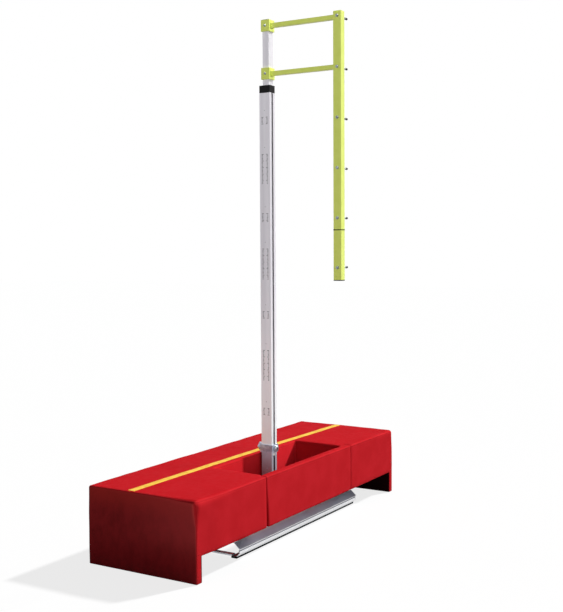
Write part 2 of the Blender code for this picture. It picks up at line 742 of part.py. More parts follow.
def build_inner_mast(finish, carrier):
    """The mast that is raised, its top plug, and its foot block with the slot bolt."""
    mast = make_object("inner_mast", tube(INNER_X, both(INNER_Y), (INNER_BOTTOM, INNER_TOP), INNER_WALL),
                       finish["anodised"], carrier, bevel=0.001)
    holes = bmesh.new()
    add_rod(holes, (INNER_MIDDLE, 0, CLAMP_MIDDLE), X_AXIS, SLOT_BOLT_RADIUS + HOLE_ROOM, 0.1)
    for height in (UPPER_ARM_HEIGHT, LOWER_ARM_HEIGHT):
        foot = (INNER_MIDDLE, -COLLAR_Y - 0.01, height)
        add_rod(holes, foot, Y_AXIS, COLLAR_BOLT_RADIUS + HOLE_ROOM, 0.01 + COLLAR_Y - INNER_Y / 2)
    cut(mast, holes)

    inside_x = inset(INNER_X, INNER_WALL + PLUG_ROOM)
    inside_y = both(INNER_Y - INNER_WALL - PLUG_ROOM)
    chamber_x = inset(CHAMBER_X, PLUG_ROOM)
    chamber_y = both(MAST_Y - MAST_WALL - PLUG_ROOM)
    foot = INNER_BOTTOM - TOUCH
    shape = stepped_block(((chamber_x, chamber_y, foot - FOOT_BLOCK_FLANGE, foot),
                           (inside_x, inside_y, foot, foot + FOOT_BLOCK_SPIGOT)))
    block = make_object("inner_mast_foot", shape, finish["nylon"], carrier)
    cut(block, rod((INNER_MIDDLE - 0.001, 0, CLAMP_MIDDLE), X_AXIS, SLOT_BOLT_RADIUS + HOLE_ROOM, 0.1))

    top = INNER_TOP + TOUCH
    shape = stepped_block(((inside_x, inside_y, top - PLUG_SPIGOT, top),
                           (INNER_X, both(INNER_Y), top, top + PLUG_THICKNESS)))
    make_object("inner_mast_plug", shape, finish["black_plastic"], carrier)


def stepped_block(steps):
    """A block of two steps along Z. Each step is its ranges of X and Y, its foot and its top."""
    (x1, y1, z0, z1), (x2, y2, _, z2) = steps
    xs = sorted({*x1, *x2})
    ys = sorted({*y1, *y2})

    def in_block(x, y, z):
        range_x, range_y = (x1, y1) if z < z1 else (x2, y2)
        return range_x[0] < x < range_x[1] and range_y[0] < y < range_y[1]

    return grid_body(xs, ys, (z0, z1, z2), in_block)


def build_clamp(finish, carrier, knob_carrier):
    """The collar that slides on the slotted mast, its slot bolt and its lobed knob."""
    inner_x = MAST_X + SLIDE
    inner_y = MAST_Y + SLIDE
    boss_x = CLAMP_X + CLAMP_BOSS_THICKNESS
    boss = CLAMP_BOSS_SIZE / 2
    xs = (-boss_x, -CLAMP_X, -inner_x, inner_x, CLAMP_X)
    ys = (-CLAMP_Y, -inner_y, -boss, boss, inner_y, CLAMP_Y)
    zs = (CLAMP_BOTTOM, KNOB_HEIGHT - boss, KNOB_HEIGHT + boss, CLAMP_TOP)

    def in_collar(x, y, z):
        if x < -CLAMP_X:
            return abs(y) < boss and zs[1] < z < zs[2]
        return abs(x) > inner_x or abs(y) > inner_y

    shape = grid_body(xs, ys, zs, in_collar)
    collar = make_object("clamp_collar", shape, finish["cast"], carrier, bevel=0.002, segments=2)
    holes = rod((inner_x - 0.01, 0, CLAMP_MIDDLE), X_AXIS, SLOT_BOLT_RADIUS + HOLE_ROOM, 0.05)
    add_rod(holes, (-boss_x - 0.01, 0, KNOB_HEIGHT), X_AXIS, KNOB_STUD_RADIUS + HOLE_ROOM, 0.05)
    cut(collar, holes)

    seat = CLAMP_X + TOUCH
    washer = seat + SLOT_WASHER_THICKNESS
    head = washer + SLOT_BOLT_HEAD_THICKNESS
    rings = [(INNER_MIDDLE, SLOT_BOLT_RADIUS, even), (seat, SLOT_BOLT_RADIUS, even),
             (seat, SLOT_WASHER_RADIUS, even), (washer, SLOT_WASHER_RADIUS, even),
             (washer, SLOT_BOLT_HEAD_RADIUS, even),
             (head - 0.006, SLOT_BOLT_HEAD_RADIUS, even),
             (head - 0.002, SLOT_BOLT_HEAD_RADIUS * 0.85, even),
             (head, SLOT_BOLT_HEAD_RADIUS * 0.5, even)]
    shape = bmesh.new()
    add_turned(shape, (0, 0, CLAMP_MIDDLE), X_AXIS, rings, 24)
    make_object("slot_bolt", shape, finish["bolt"], carrier)

    neck = boss_x + TOUCH
    body = neck + KNOB_NECK
    end = body + KNOB_THICKNESS
    rings = [(MAST_X + TOUCH, KNOB_STUD_RADIUS, even), (neck, KNOB_STUD_RADIUS, even),
             (neck, KNOB_NECK_RADIUS, even), (body, KNOB_NECK_RADIUS, even),
             (body, KNOB_RADIUS * 0.92, four_lobes), (body + 0.003, KNOB_RADIUS, four_lobes),
             (end - 0.005, KNOB_RADIUS, four_lobes), (end - 0.001, KNOB_RADIUS * 0.88, four_lobes),
             (end, KNOB_RADIUS * 0.6, four_lobes)]
    shape = bmesh.new()
    add_turned(shape, (0, 0, KNOB_HEIGHT), -X_AXIS, rings, 32)
    make_object("clamp_knob", shape, finish["cast"], knob_carrier)


def build_head(finish, carrier):
    """Two collars on the inner mast, with their bolts, and the two arms to the bar."""
    for name, height in (("upper", UPPER_ARM_HEIGHT), ("lower", LOWER_ARM_HEIGHT)):
        z = (height - COLLAR_HEIGHT / 2, height + COLLAR_HEIGHT / 2)
        shape = tube(COLLAR_X, both(COLLAR_Y), z, COLLAR_WALL)
        collar = make_object(f"{name}_collar", shape, finish["yellow"], carrier, bevel=0.0015)
        foot = (INNER_MIDDLE, -COLLAR_Y - 0.01, height)
        cut(collar, rod(foot, Y_AXIS, COLLAR_BOLT_RADIUS + HOLE_ROOM, 0.01 + COLLAR_Y - INNER_Y / 2))
        seat = Vector((INNER_MIDDLE, -COLLAR_Y - TOUCH, height))
        grip = COLLAR_WALL + TOUCH + INNER_WALL
        shape = hex_bolt(seat, -Y_AXIS, COLLAR_BOLT_RADIUS, grip, washer=0.010)
        make_object(f"{name}_collar_bolt", shape, finish["bolt"], carrier)

        arm_x = (COLLAR_X[1] + TOUCH, BAR_X[0] - TOUCH)
        half = ARM_SIZE / 2
        ys = (-half, -half + ARM_WALL, half - ARM_WALL, half)
        zs = tuple(height + y for y in ys)
        shape = grid_body(arm_x, ys, zs, lambda x, y, z: not (abs(y) < ys[2] and zs[1] < z < zs[2]))
        make_object(f"{name}_arm", shape, finish["yellow"], carrier, bevel=0.001)


def peg_heights():
    """The height of each crossbar peg."""
    return [FIRST_PEG_HEIGHT + n * PEG_PITCH for n in range(PEG_COUNT)]


def bar_holes():
    """Holes for the pegs through both sides of the bar, and for the joint's screw."""
    holes = bmesh.new()
    for height in peg_heights():
        foot = (BAR_REACH, -BAR_Y - 0.01, height)
        add_rod(holes, foot, Y_AXIS, PEG_RADIUS + HOLE_ROOM, BAR_DEPTH + 0.02)
    foot = (BAR_X[0] - 0.01, 0, BAR_JOINT + JOINT_SPIGOT / 2)
    add_rod(holes, foot, X_AXIS, JOINT_SCREW_RADIUS + HOLE_ROOM, 0.013 + 2 * BAR_WALL, 10)
    return holes


def build_bar(finish, carrier):
    """The bar, the extension that plugs into its lower end, and a cap at each end."""
    inside_x = inset(BAR_X, BAR_WALL + TOUCH)
    inside_y = both(BAR_Y - BAR_WALL - TOUCH)
    main_z = (BAR_JOINT + TOUCH, BAR_TOP - CAP_THICKNESS - TOUCH)
    shape = tube(BAR_X, both(BAR_Y), main_z, BAR_WALL)
    bar = make_object("standard_bar", shape, finish["yellow"], carrier, bevel=0.001)
    cut(bar, bar_holes())

    hollow_x = inset(inside_x, BAR_WALL)
    hollow_y = both(inside_y[1] - BAR_WALL)
    xs = (BAR_X[0], inside_x[0], hollow_x[0], hollow_x[1], inside_x[1], BAR_X[1])
    ys = (-BAR_Y, inside_y[0], hollow_y[0], hollow_y[1], inside_y[1], BAR_Y)
    foot = BAR_BOTTOM + CAP_THICKNESS + TOUCH
    zs = (foot, BAR_JOINT - JOINT_SPIGOT, BAR_JOINT, BAR_JOINT + JOINT_SPIGOT)

    def in_extension(x, y, z):
        in_hollow = hollow_x[0] < x < hollow_x[1] and hollow_y[0] < y < hollow_y[1]
        in_tube = inside_x[0] < x < inside_x[1] and inside_y[0] < y < inside_y[1]
        if z > zs[2]:
            return in_tube and not in_hollow
        return not in_hollow if z > zs[1] else not in_tube

    shape = grid_body(xs, ys, zs, in_extension)
    extension = make_object("bar_extension", shape, finish["yellow"], carrier, bevel=0.001)
    cut(extension, bar_holes())

    seat = (BAR_X[0] - TOUCH, 0, BAR_JOINT + JOINT_SPIGOT / 2)
    rings = [(-2 * BAR_WALL, JOINT_SCREW_RADIUS, even), (0, JOINT_SCREW_RADIUS, even),
             (0, 2 * JOINT_SCREW_RADIUS, even), (0.003, 1.5 * JOINT_SCREW_RADIUS, even)]
    shape = bmesh.new()
    add_turned(shape, seat, -X_AXIS, rings, 10)
    make_object("bar_joint_screw", shape, finish["bolt"], carrier)

    plug_x = inset(inside_x, PLUG_ROOM)
    plug_y = inset(inside_y, PLUG_ROOM)
    top = BAR_TOP - CAP_THICKNESS
    steps = ((plug_x, plug_y, top - CAP_SPIGOT, top), (BAR_X, both(BAR_Y), top, BAR_TOP))
    make_object("bar_top_cap", stepped_block(steps), finish["yellow"], carrier, bevel=0.002, segments=2)
    bottom = BAR_BOTTOM + CAP_THICKNESS
    steps = ((BAR_X, both(BAR_Y), BAR_BOTTOM, bottom), (plug_x, plug_y, bottom, bottom + CAP_SPIGOT))
    make_object("bar_bottom_cap", stepped_block(steps), finish["black_plastic"], carrier)


def build_pegs(finish, carrier):
    """The pegs that the crossbar lies on: long bolts through the bar, each with a plastic tip."""
    seat_y = -BAR_Y - TOUCH
    far_face = 2 * (BAR_Y + TOUCH)
    rod_end = far_face + PEG_REACH - PEG_TIP_LENGTH
    flange_end = far_face + PEG_FLANGE_THICKNESS
    head = bolt_rings(PEG_RADIUS, 0, PEG_HEAD, PEG_FLANGE_RADIUS)[1:]
    peg_rings = [(-along, radius, section) for along, radius, section in reversed(head)]
    peg_rings += [(far_face, PEG_RADIUS, even), (far_face, PEG_FLANGE_RADIUS, even),
                  (flange_end, PEG_FLANGE_RADIUS, even), (flange_end, PEG_RADIUS, even),
                  (rod_end, PEG_RADIUS, even)]
    for number, height in enumerate(peg_heights(), start=1):
        seat = Vector((BAR_REACH, seat_y, height))
        peg = bmesh.new()
        add_turned(peg, seat, Y_AXIS, peg_rings)
        make_object(f"crossbar_peg_{number}", peg, finish["bolt"], carrier)
        end = far_face + PEG_REACH
        rings = [(rod_end + TOUCH, PEG_TIP_RADIUS, even), (end - 0.003, PEG_TIP_RADIUS, even),
                 (end, PEG_TIP_RADIUS * 0.7, even)]
        tip = bmesh.new()
        add_turned(tip, seat, Y_AXIS, rings)
        make_object(f"peg_tip_{number}", tip, finish["black_plastic"], carrier)


def swell(across):
    """How far a stuffed face stands out: 1 in its middle, 0 at its edges."""
    return max(0.0, 1 - across * across)


def stuff(point):
    """Where a point of the pad's plain box moves when the cover is filled and laced tight."""
    u = (point.x - sum(PAD_X) / 2) / ((PAD_X[1] - PAD_X[0]) / 2)
    v = (point.y - PAD_MIDDLE_Y) / (PAD_LENGTH / 2)
    w = point.z / PAD_HEIGHT
    height = 2 * w - 1
    moved = point.copy()
    side = max(0.0, abs(u) - 0.9) / 0.1
    moved.x += math.copysign(PAD_SIDE_SWELL * swell(v) * swell(height) * min(1.0, side), u)
    end = max(0.0, abs(v) - 0.95) / 0.05
    moved.y -= math.copysign(PAD_SIDE_SWELL * (1 - swell(u) * swell(height)) * min(1.0, end), v)
    top = max(0.0, w - 0.85) / 0.15
    moved.z += PAD_CROWN * swell(u) * swell(v) * top
    return moved


def in_recess(x, y, z):
    """The space along the pad's inner side that the front flap fills."""
    return x > SLOT_X[1] and FLAP_Y[0] - FLAP_FRONT_GAP < y < FLAP_Y[1] + FLAP_REAR_GAP


def in_pad(x, y, z):
    """Whether a place lies in the pad's foam."""
    in_slot = SLOT_X[0] < x < SLOT_X[1] and SLOT_Y[0] < y < SLOT_Y[1]
    if in_slot or in_recess(x, y, z):
        return False
    if z > PAD_HOLLOW_HEIGHT:
        return True
    in_end = y < PAD_Y[0] + PAD_PANEL or y > PAD_Y[1] - PAD_PANEL
    return in_end or x < PAD_X[0] + PAD_PANEL


def build_pad(finish, carrier, flap_carrier):
    """The foam pad over the frame, its front flap, its hook-and-loop strip and its stripe."""
    grid_step = 0.16
    recess_y = (FLAP_Y[0] - FLAP_FRONT_GAP, FLAP_Y[1] + FLAP_REAR_GAP)
    xs = grid_lines(*PAD_X, grid_step, (PAD_X[0] + PAD_PANEL, *SLOT_X))
    ys = grid_lines(*PAD_Y, grid_step, (PAD_Y[0] + PAD_PANEL, PAD_Y[1] - PAD_PANEL, *SLOT_Y, *recess_y))
    zs = grid_lines(0, PAD_HEIGHT, grid_step, (PAD_HOLLOW_HEIGHT,))
    shape = grid_body(xs, ys, zs, in_pad)
    stuff_shape(shape)
    make_object("base_pad", shape, finish["vinyl"], carrier, bevel=PAD_EDGE_ROUND, segments=2)

    flap_x = (SLOT_X[1] + HOOK_STRIP_THICKNESS + TOUCH, PAD_X[1])
    flap_z = grid_lines(PAD_HOLLOW_HEIGHT, PAD_HEIGHT, grid_step)
    shape = grid_body(flap_x, grid_lines(*FLAP_Y, grid_step), flap_z, lambda x, y, z: True)
    stuff_shape(shape)
    make_object("front_flap", shape, finish["vinyl"], flap_carrier, bevel=PAD_EDGE_ROUND, segments=2)

    hook_x = (SLOT_X[1] + TOUCH, SLOT_X[1] + HOOK_STRIP_THICKNESS)
    hook_y = (FLAP_Y[0] + 0.001, FLAP_Y[0] + 0.001 + HOOK_STRIP_WIDTH)
    middle = (PAD_HOLLOW_HEIGHT + PAD_HEIGHT) / 2
    hook_z = (middle - HOOK_STRIP_HEIGHT / 2, middle + HOOK_STRIP_HEIGHT / 2)
    make_object("flap_hook_strip", box(hook_x, hook_y, hook_z), finish["hook"], carrier)

    stripe_end = SLOT_X[0] - STRIPE_FROM_SLOT
    stripe_x = (stripe_end - STRIPE_WIDTH, stripe_end)
    margin = 2 * PAD_EDGE_ROUND
    stripe_y = grid_lines(PAD_Y[0] + margin, PAD_Y[1] - margin, grid_step / 2)
    stripe_z = (PAD_HEIGHT + 2 * TOUCH, PAD_HEIGHT + 2 * TOUCH + STRIPE_THICKNESS)
    shape = grid_body(grid_lines(*stripe_x, STRIPE_WIDTH), stripe_y, stripe_z, lambda x, y, z: True)
    stuff_shape(shape)
    make_object("pad_stripe", shape, finish["stripe"], carrier)


def stuff_shape(shape):
    """Fill out every vertex of a shape of the pad."""
    for vertex in shape.verts:
        vertex.co = stuff(vertex.co)


def build():
    """Build the whole standard."""
    clear_scene()
    finish = build_finishes()
    base = carrier_empty("base_axis", MAST_PLACE, None)
    carriage = carrier_empty("carriage_axis", (0, 0, PLATE_TOP), base)
    raised = carrier_empty("raised_axis", (INNER_MIDDLE, 0, INNER_BOTTOM), base)
    knob = carrier_empty("knob_axis", (-CLAMP_X, 0, KNOB_HEIGHT), base)
    flap = carrier_empty("flap_axis", (PAD_X[1], FLAP_Y[1], PAD_HOLLOW_HEIGHT), base)
    build_rails(finish, base)
    build_crossbars(finish, base)
    build_stops(finish, base)
    build_carriage(finish, carriage)
    build_mast_foot(finish, carriage)
    build_outer_mast(finish, carriage)
    build_inner_mast(finish, raised)
    build_clamp(finish, raised, knob)
    build_head(finish, raised)
    build_bar(finish, raised)
    build_pegs(finish, raised)
    build_pad(finish, base, flap)


build()
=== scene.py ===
"""The pole vault standard of the photograph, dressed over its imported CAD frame.

Everything is in metres. +X runs from the mast to the yellow bar, +Y along the runway to the pit, +Z is up.
"""

import json
import math

import bmesh
import bpy
from mathutils import Matrix, Vector, noise

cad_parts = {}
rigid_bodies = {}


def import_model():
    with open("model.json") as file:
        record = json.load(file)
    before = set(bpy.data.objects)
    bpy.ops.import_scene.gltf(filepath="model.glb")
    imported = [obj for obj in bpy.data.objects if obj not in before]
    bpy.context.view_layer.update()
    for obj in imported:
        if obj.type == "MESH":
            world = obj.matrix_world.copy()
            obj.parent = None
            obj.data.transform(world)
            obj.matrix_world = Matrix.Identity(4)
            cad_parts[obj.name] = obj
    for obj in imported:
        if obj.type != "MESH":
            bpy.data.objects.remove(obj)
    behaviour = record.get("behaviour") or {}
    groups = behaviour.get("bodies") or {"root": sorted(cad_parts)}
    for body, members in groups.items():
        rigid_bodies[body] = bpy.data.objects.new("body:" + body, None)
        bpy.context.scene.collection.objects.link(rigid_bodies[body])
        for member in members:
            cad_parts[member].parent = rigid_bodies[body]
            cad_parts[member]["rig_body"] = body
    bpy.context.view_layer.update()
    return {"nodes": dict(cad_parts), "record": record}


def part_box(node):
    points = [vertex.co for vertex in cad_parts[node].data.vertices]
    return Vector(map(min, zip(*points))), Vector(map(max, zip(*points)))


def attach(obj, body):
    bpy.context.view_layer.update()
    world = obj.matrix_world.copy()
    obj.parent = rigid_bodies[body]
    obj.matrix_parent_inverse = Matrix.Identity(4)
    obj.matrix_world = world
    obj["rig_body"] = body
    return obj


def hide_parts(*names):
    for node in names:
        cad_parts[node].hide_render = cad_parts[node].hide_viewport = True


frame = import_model()


def span(node, axis):
    """Where a CAD node starts and ends along an axis."""
    low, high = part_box(node)
    return low[axis], high[axis]


def middle(values):
    return (values[0] + values[1]) / 2


# Places that the pieces share. The mast's and the stripe's are read from their CAD nodes, and the pad's are
# the CAD pad's own sizes, measured from the mast's axis.
MAST = Vector((middle(span("outer_mast", 0)), middle(span("outer_mast", 1)), 0))
MAST_FRONT = span("outer_mast", 1)[0]
PAD_HEIGHT = 0.540
PAD_X = (MAST.x - 0.496, MAST.x + 0.419)
PAD_Y = (MAST.y - 1.532, MAST.y + 1.358)
PAD_PANEL = 0.060
HOLLOW_HEIGHT = 0.175
SLOT_X = (MAST.x - 0.060, MAST.x + 0.360)
SLOT_Y = (MAST.y - 0.6851, MAST.y + 0.5051)
RECESS_Y = (MAST.y - 0.712, MAST.y + 0.5695)
FLAP_X = (MAST.x + 0.3623, PAD_X[1])
FLAP_Y = (MAST.y - 0.700, MAST.y + 0.569)
STRIPE_X = span("pad_stripe", 0)


# Camera

# The photograph's camera, as fitted to it: its focal length and the picture's longer side in pixels, its yaw,
# pitch and roll in degrees, and where it stands from the mast's foot.
FOCAL_PIXELS = 1028.82
PICTURE_HEIGHT = 612
SENSOR = 36
CAMERA_TURN = (-31.1254, -3.5071, -0.3143)
CAMERA_PLACE = (4.1820, -6.7295, 2.1659)


def add_camera():
    """The photograph's camera, for a picture of 563 x 612 pixels."""
    yaw, pitch, roll = (math.radians(a) for a in CAMERA_TURN)
    level = Vector((math.sin(yaw), math.cos(yaw), 0))
    side = Vector((math.cos(yaw), -math.sin(yaw), 0))
    forward = level * math.cos(pitch) + Vector((0, 0, math.sin(pitch)))
    up = side.cross(forward)
    right = side * math.cos(roll) + up * math.sin(roll)
    upright = up * math.cos(roll) - side * math.sin(roll)
    data = bpy.data.cameras.new("camera")
    data.sensor_width = SENSOR
    data.lens = SENSOR * FOCAL_PIXELS / PICTURE_HEIGHT
    data.clip_end = 200
    camera = bpy.data.objects.new("camera", data)
    turn = Matrix((right, upright, -forward)).transposed().to_4x4()
    camera.matrix_world = Matrix.Translation(MAST + Vector(CAMERA_PLACE)) @ turn
    bpy.context.scene.collection.objects.link(camera)
    bpy.context.scene.camera = camera


add_camera()


# Finishes

# Colours are 8-bit sRGB.
# Painted shade: the mast's inside and its slot's walls take this dark colour.
MAST_INSIDE_PAINTED_SHADE = (58, 56, 62)
# Painted shade: the pad's top is made darker with this tone, where the key falls on it most.
VINYL_TOP_PAINTED_SHADE = (184, 20, 28)
VINYL_END = (204, 66, 68)
VINYL_STREAK = (150, 40, 42)
# Painted light: the ends grow paler towards their top with this tone.
VINYL_END_TOP_PAINTED_LIGHT = (236, 66, 60)
VINYL_END_PALER = (246, 84, 86)
VINYL_FOOT = (150, 26, 34)
VINYL_GRIME = (104, 50, 48)
# Painted shade for the hollow under the pad.
HOLLOW_PAINTED_SHADE = (42, 13, 16)
# Where the pad's blotches lie: the foot of the pale band, which is painted light on the top of the ends, the
# paler patch's start and end in X and in height, and the tops of the dark foot and of the grime. The grime
# goes all round, and the rest is on what faces along Y within END_DEPTH of the pad's ends.
END_LIGHT_FOOT = 0.36
PALER_X, PALER_RISE = (-0.4, 0.4), (0.10, 0.34)
DARK_FOOT_TOP, GRIME_TOP = 0.30, 0.12
END_DEPTH = 0.06
# How far in from the pad's outer faces the painted shade of the hollow starts, and the depth of the +X face,
# which has none.
HOLLOW_SHADE_INSET, PLAIN_DEPTH = 0.05, 0.012
SEAM_GROOVE = (110, 14, 18)
SEAM_THREAD = (222, 62, 60)
STITCH_PITCH = 0.0065
SEAM_TO_STITCHES = 0.0065
WEAVE_PITCHES = (0.0016, 0.0022)
RIB_PITCH = 0.006
# A coordinate that lies beyond every piece.
BEYOND = 9.0


def linear(channel):
    """An 8-bit sRGB channel as linear light."""
    c = channel / 255
    return c / 12.92 if c <= 0.04045 else ((c + 0.055) / 1.055) ** 2.4


def colour(red, green, blue):
    return (linear(red), linear(green), linear(blue), 1)


class Finish:
    """A node material while it is being put together."""

    def __init__(self, name, roughness=0.5, metallic=0.0, **fixed):
        self.material = bpy.data.materials.new(name)
        self.material.use_nodes = True
        self.tree = self.material.node_tree
        self.shader = self.tree.nodes["Principled BSDF"]
        self.shader.inputs["Roughness"].default_value = roughness
        self.shader.inputs["Metallic"].default_value = metallic
        for socket, value in fixed.items():
            self.shader.inputs[socket.replace("_", " ")].default_value = value
        self.place = self.add("ShaderNodeTexCoord").outputs["Object"]
        self.relief = None

    def add(self, kind, inputs=(), **settings):
        """A node with its settings and inputs, each input a value or another node's output."""
        node = self.tree.nodes.new(kind)
        for key, value in settings.items():
            setattr(node, key, value)
        for key, value in dict(inputs).items():
            if isinstance(value, bpy.types.NodeSocket):
                self.tree.links.new(value, node.inputs[key])
            else:
                node.inputs[key].default_value = value
        return node

    def scaled(self, pitch):
        """The object's coordinates divided by a pitch, one number or one for each axis."""
        sizes = (pitch, pitch, pitch) if isinstance(pitch, (int, float)) else pitch
        vector = tuple(1 / p for p in sizes)
        return self.add("ShaderNodeVectorMath", {0: self.place, 1: vector}, operation="MULTIPLY").outputs[0]

    def noise(self, pitch, detail=2.0, harsh=0.5):
        """Cloudy noise whose spots are about pitch metres across."""
        inputs = {"Vector": self.scaled(pitch), "Scale": 1.0, "Detail": detail, "Roughness": harsh}
        return self.add("ShaderNodeTexNoise", inputs).outputs["Fac"]

    def cells(self, pitch, feature="F1", output="Distance"):
        inputs = {"Vector": self.scaled(pitch), "Scale": 1.0}
        return self.add("ShaderNodeTexVoronoi", inputs, feature=feature).outputs[output]

    def part(self, axis):
        """One of the object's coordinates."""
        return self.add("ShaderNodeSeparateXYZ", {0: self.place}).outputs[axis]

    def facing(self, axis):
        """One part of the way the surface faces in the object's own axes, from -1 to 1."""
        normal = self.place.node.outputs["Normal"]
        return self.add("ShaderNodeSeparateXYZ", {0: normal}).outputs[axis]

    def within(self, axis, low, high, soft=0.001):
        """1 where a coordinate lies between two places and 0 beyond them, over a soft edge."""
        value = self.part(axis)
        above = self.between(value, low - soft, low + soft)
        return self.math("MULTIPLY", above, self.between(value, high - soft, high + soft, 1.0, 0.0))

    def math(self, operation, *values):
        return self.add("ShaderNodeMath", enumerate(values), operation=operation).outputs[0]

    def between(self, value, low, high, start=0.0, end=1.0):
        """value's range low to high, mapped smoothly to start to end and held there."""
        inputs = {"Value": value, "From Min": low, "From Max": high, "To Min": start, "To Max": end}
        node = self.add("ShaderNodeMapRange", inputs, interpolation_type="SMOOTHSTEP")
        return node.outputs["Result"]

    def mix(self, factor, first, second):
        """A colour between two."""
        node = self.add("ShaderNodeMix", {0: factor, 6: first, 7: second}, data_type="RGBA")
        return node.outputs[2]

    def bump(self, height, depth, strength=1.0):
        """Add relief of a depth in metres."""
        inputs = {"Height": height, "Distance": depth, "Strength": strength}
        if self.relief is not None:
            inputs["Normal"] = self.relief
        self.relief = self.add("ShaderNodeBump", inputs).outputs[0]

    def done(self, **links):
        """Join the outputs given by socket name and return the material."""
        if self.relief is not None:
            links["Normal"] = self.relief
        for socket, value in links.items():
            self.tree.links.new(value, self.shader.inputs[socket.replace("_", " ")])
        return self.material


def streaked_metal(name, base, dark, light, roughness, metallic, fine, coarse, hollow=None, bands=()):
    """Drawn aluminium: die lines, slow stains and small scratches.

    fine and coarse are the pitches of the die lines and of the slow change of tone.
    hollow is a box in X and Y, inside which the colour is painted shade: dark metal as seen through a slot.
    bands are heights from and to, their soft edge and a colour, for painted light and shade and for dark
    lines.
    """
    f = Finish(name, roughness, metallic)
    lines = f.noise(fine, 3.0, 0.6)
    slow = f.noise(coarse, 2.0)
    stains = f.noise(0.11, 4.0, 0.6)
    scratches = f.noise((0.004, 0.004, 0.06), 6.0, 0.75)
    tone = f.mix(f.between(slow, 0.2, 0.8, 0.0, 0.7), colour(*base), colour(*dark))
    tone = f.mix(f.between(lines, 0.45, 0.8, 0.0, 0.4), tone, colour(*light))
    tone = f.mix(f.between(stains, 0.60, 0.75, 0.0, 0.25), tone, colour(*dark))
    tone = f.mix(f.between(scratches, 0.68, 0.74, 0.0, 0.35), tone, colour(*dark))
    for low, high, soft, shade in bands:
        tone = f.mix(f.within("Z", low, high, soft), tone, colour(*shade))
    # Painted shade inside the mast, as seen through its slot.
    if hollow:
        inside = f.math("MULTIPLY", f.within("X", *hollow[0]), f.within("Y", *hollow[1]))
        tone = f.mix(inside, tone, colour(*MAST_INSIDE_PAINTED_SHADE))
    f.bump(lines, 0.00006, 0.5)
    f.bump(scratches, -0.00005, 0.5)
    rough = f.between(stains, 0.25, 0.75, roughness - 0.07, roughness + 0.09)
    return f.done(Base_Color=tone, Roughness=rough)


def paint(name, base, dark, roughness, specular):
    """Powder coat: orange-peel relief, slightly uneven colour and a few small scuffs."""
    f = Finish(name, roughness, Specular_IOR_Level=specular)
    cloud = f.noise(0.06, 3.0)
    peel = f.noise(0.0016, 1.0)
    scuff = f.noise((0.012, 0.012, 0.030), 5.0, 0.7)
    tone = f.mix(f.between(cloud, 0.3, 0.7), colour(*dark), colour(*base))
    tone = f.mix(f.between(scuff, 0.70, 0.76, 0.0, 0.5), tone, colour(*dark))
    f.bump(peel, 0.00012, 0.5)
    rough = f.between(scuff, 0.4, 0.76, roughness, roughness + 0.2)
    return f.done(Base_Color=tone, Roughness=rough)


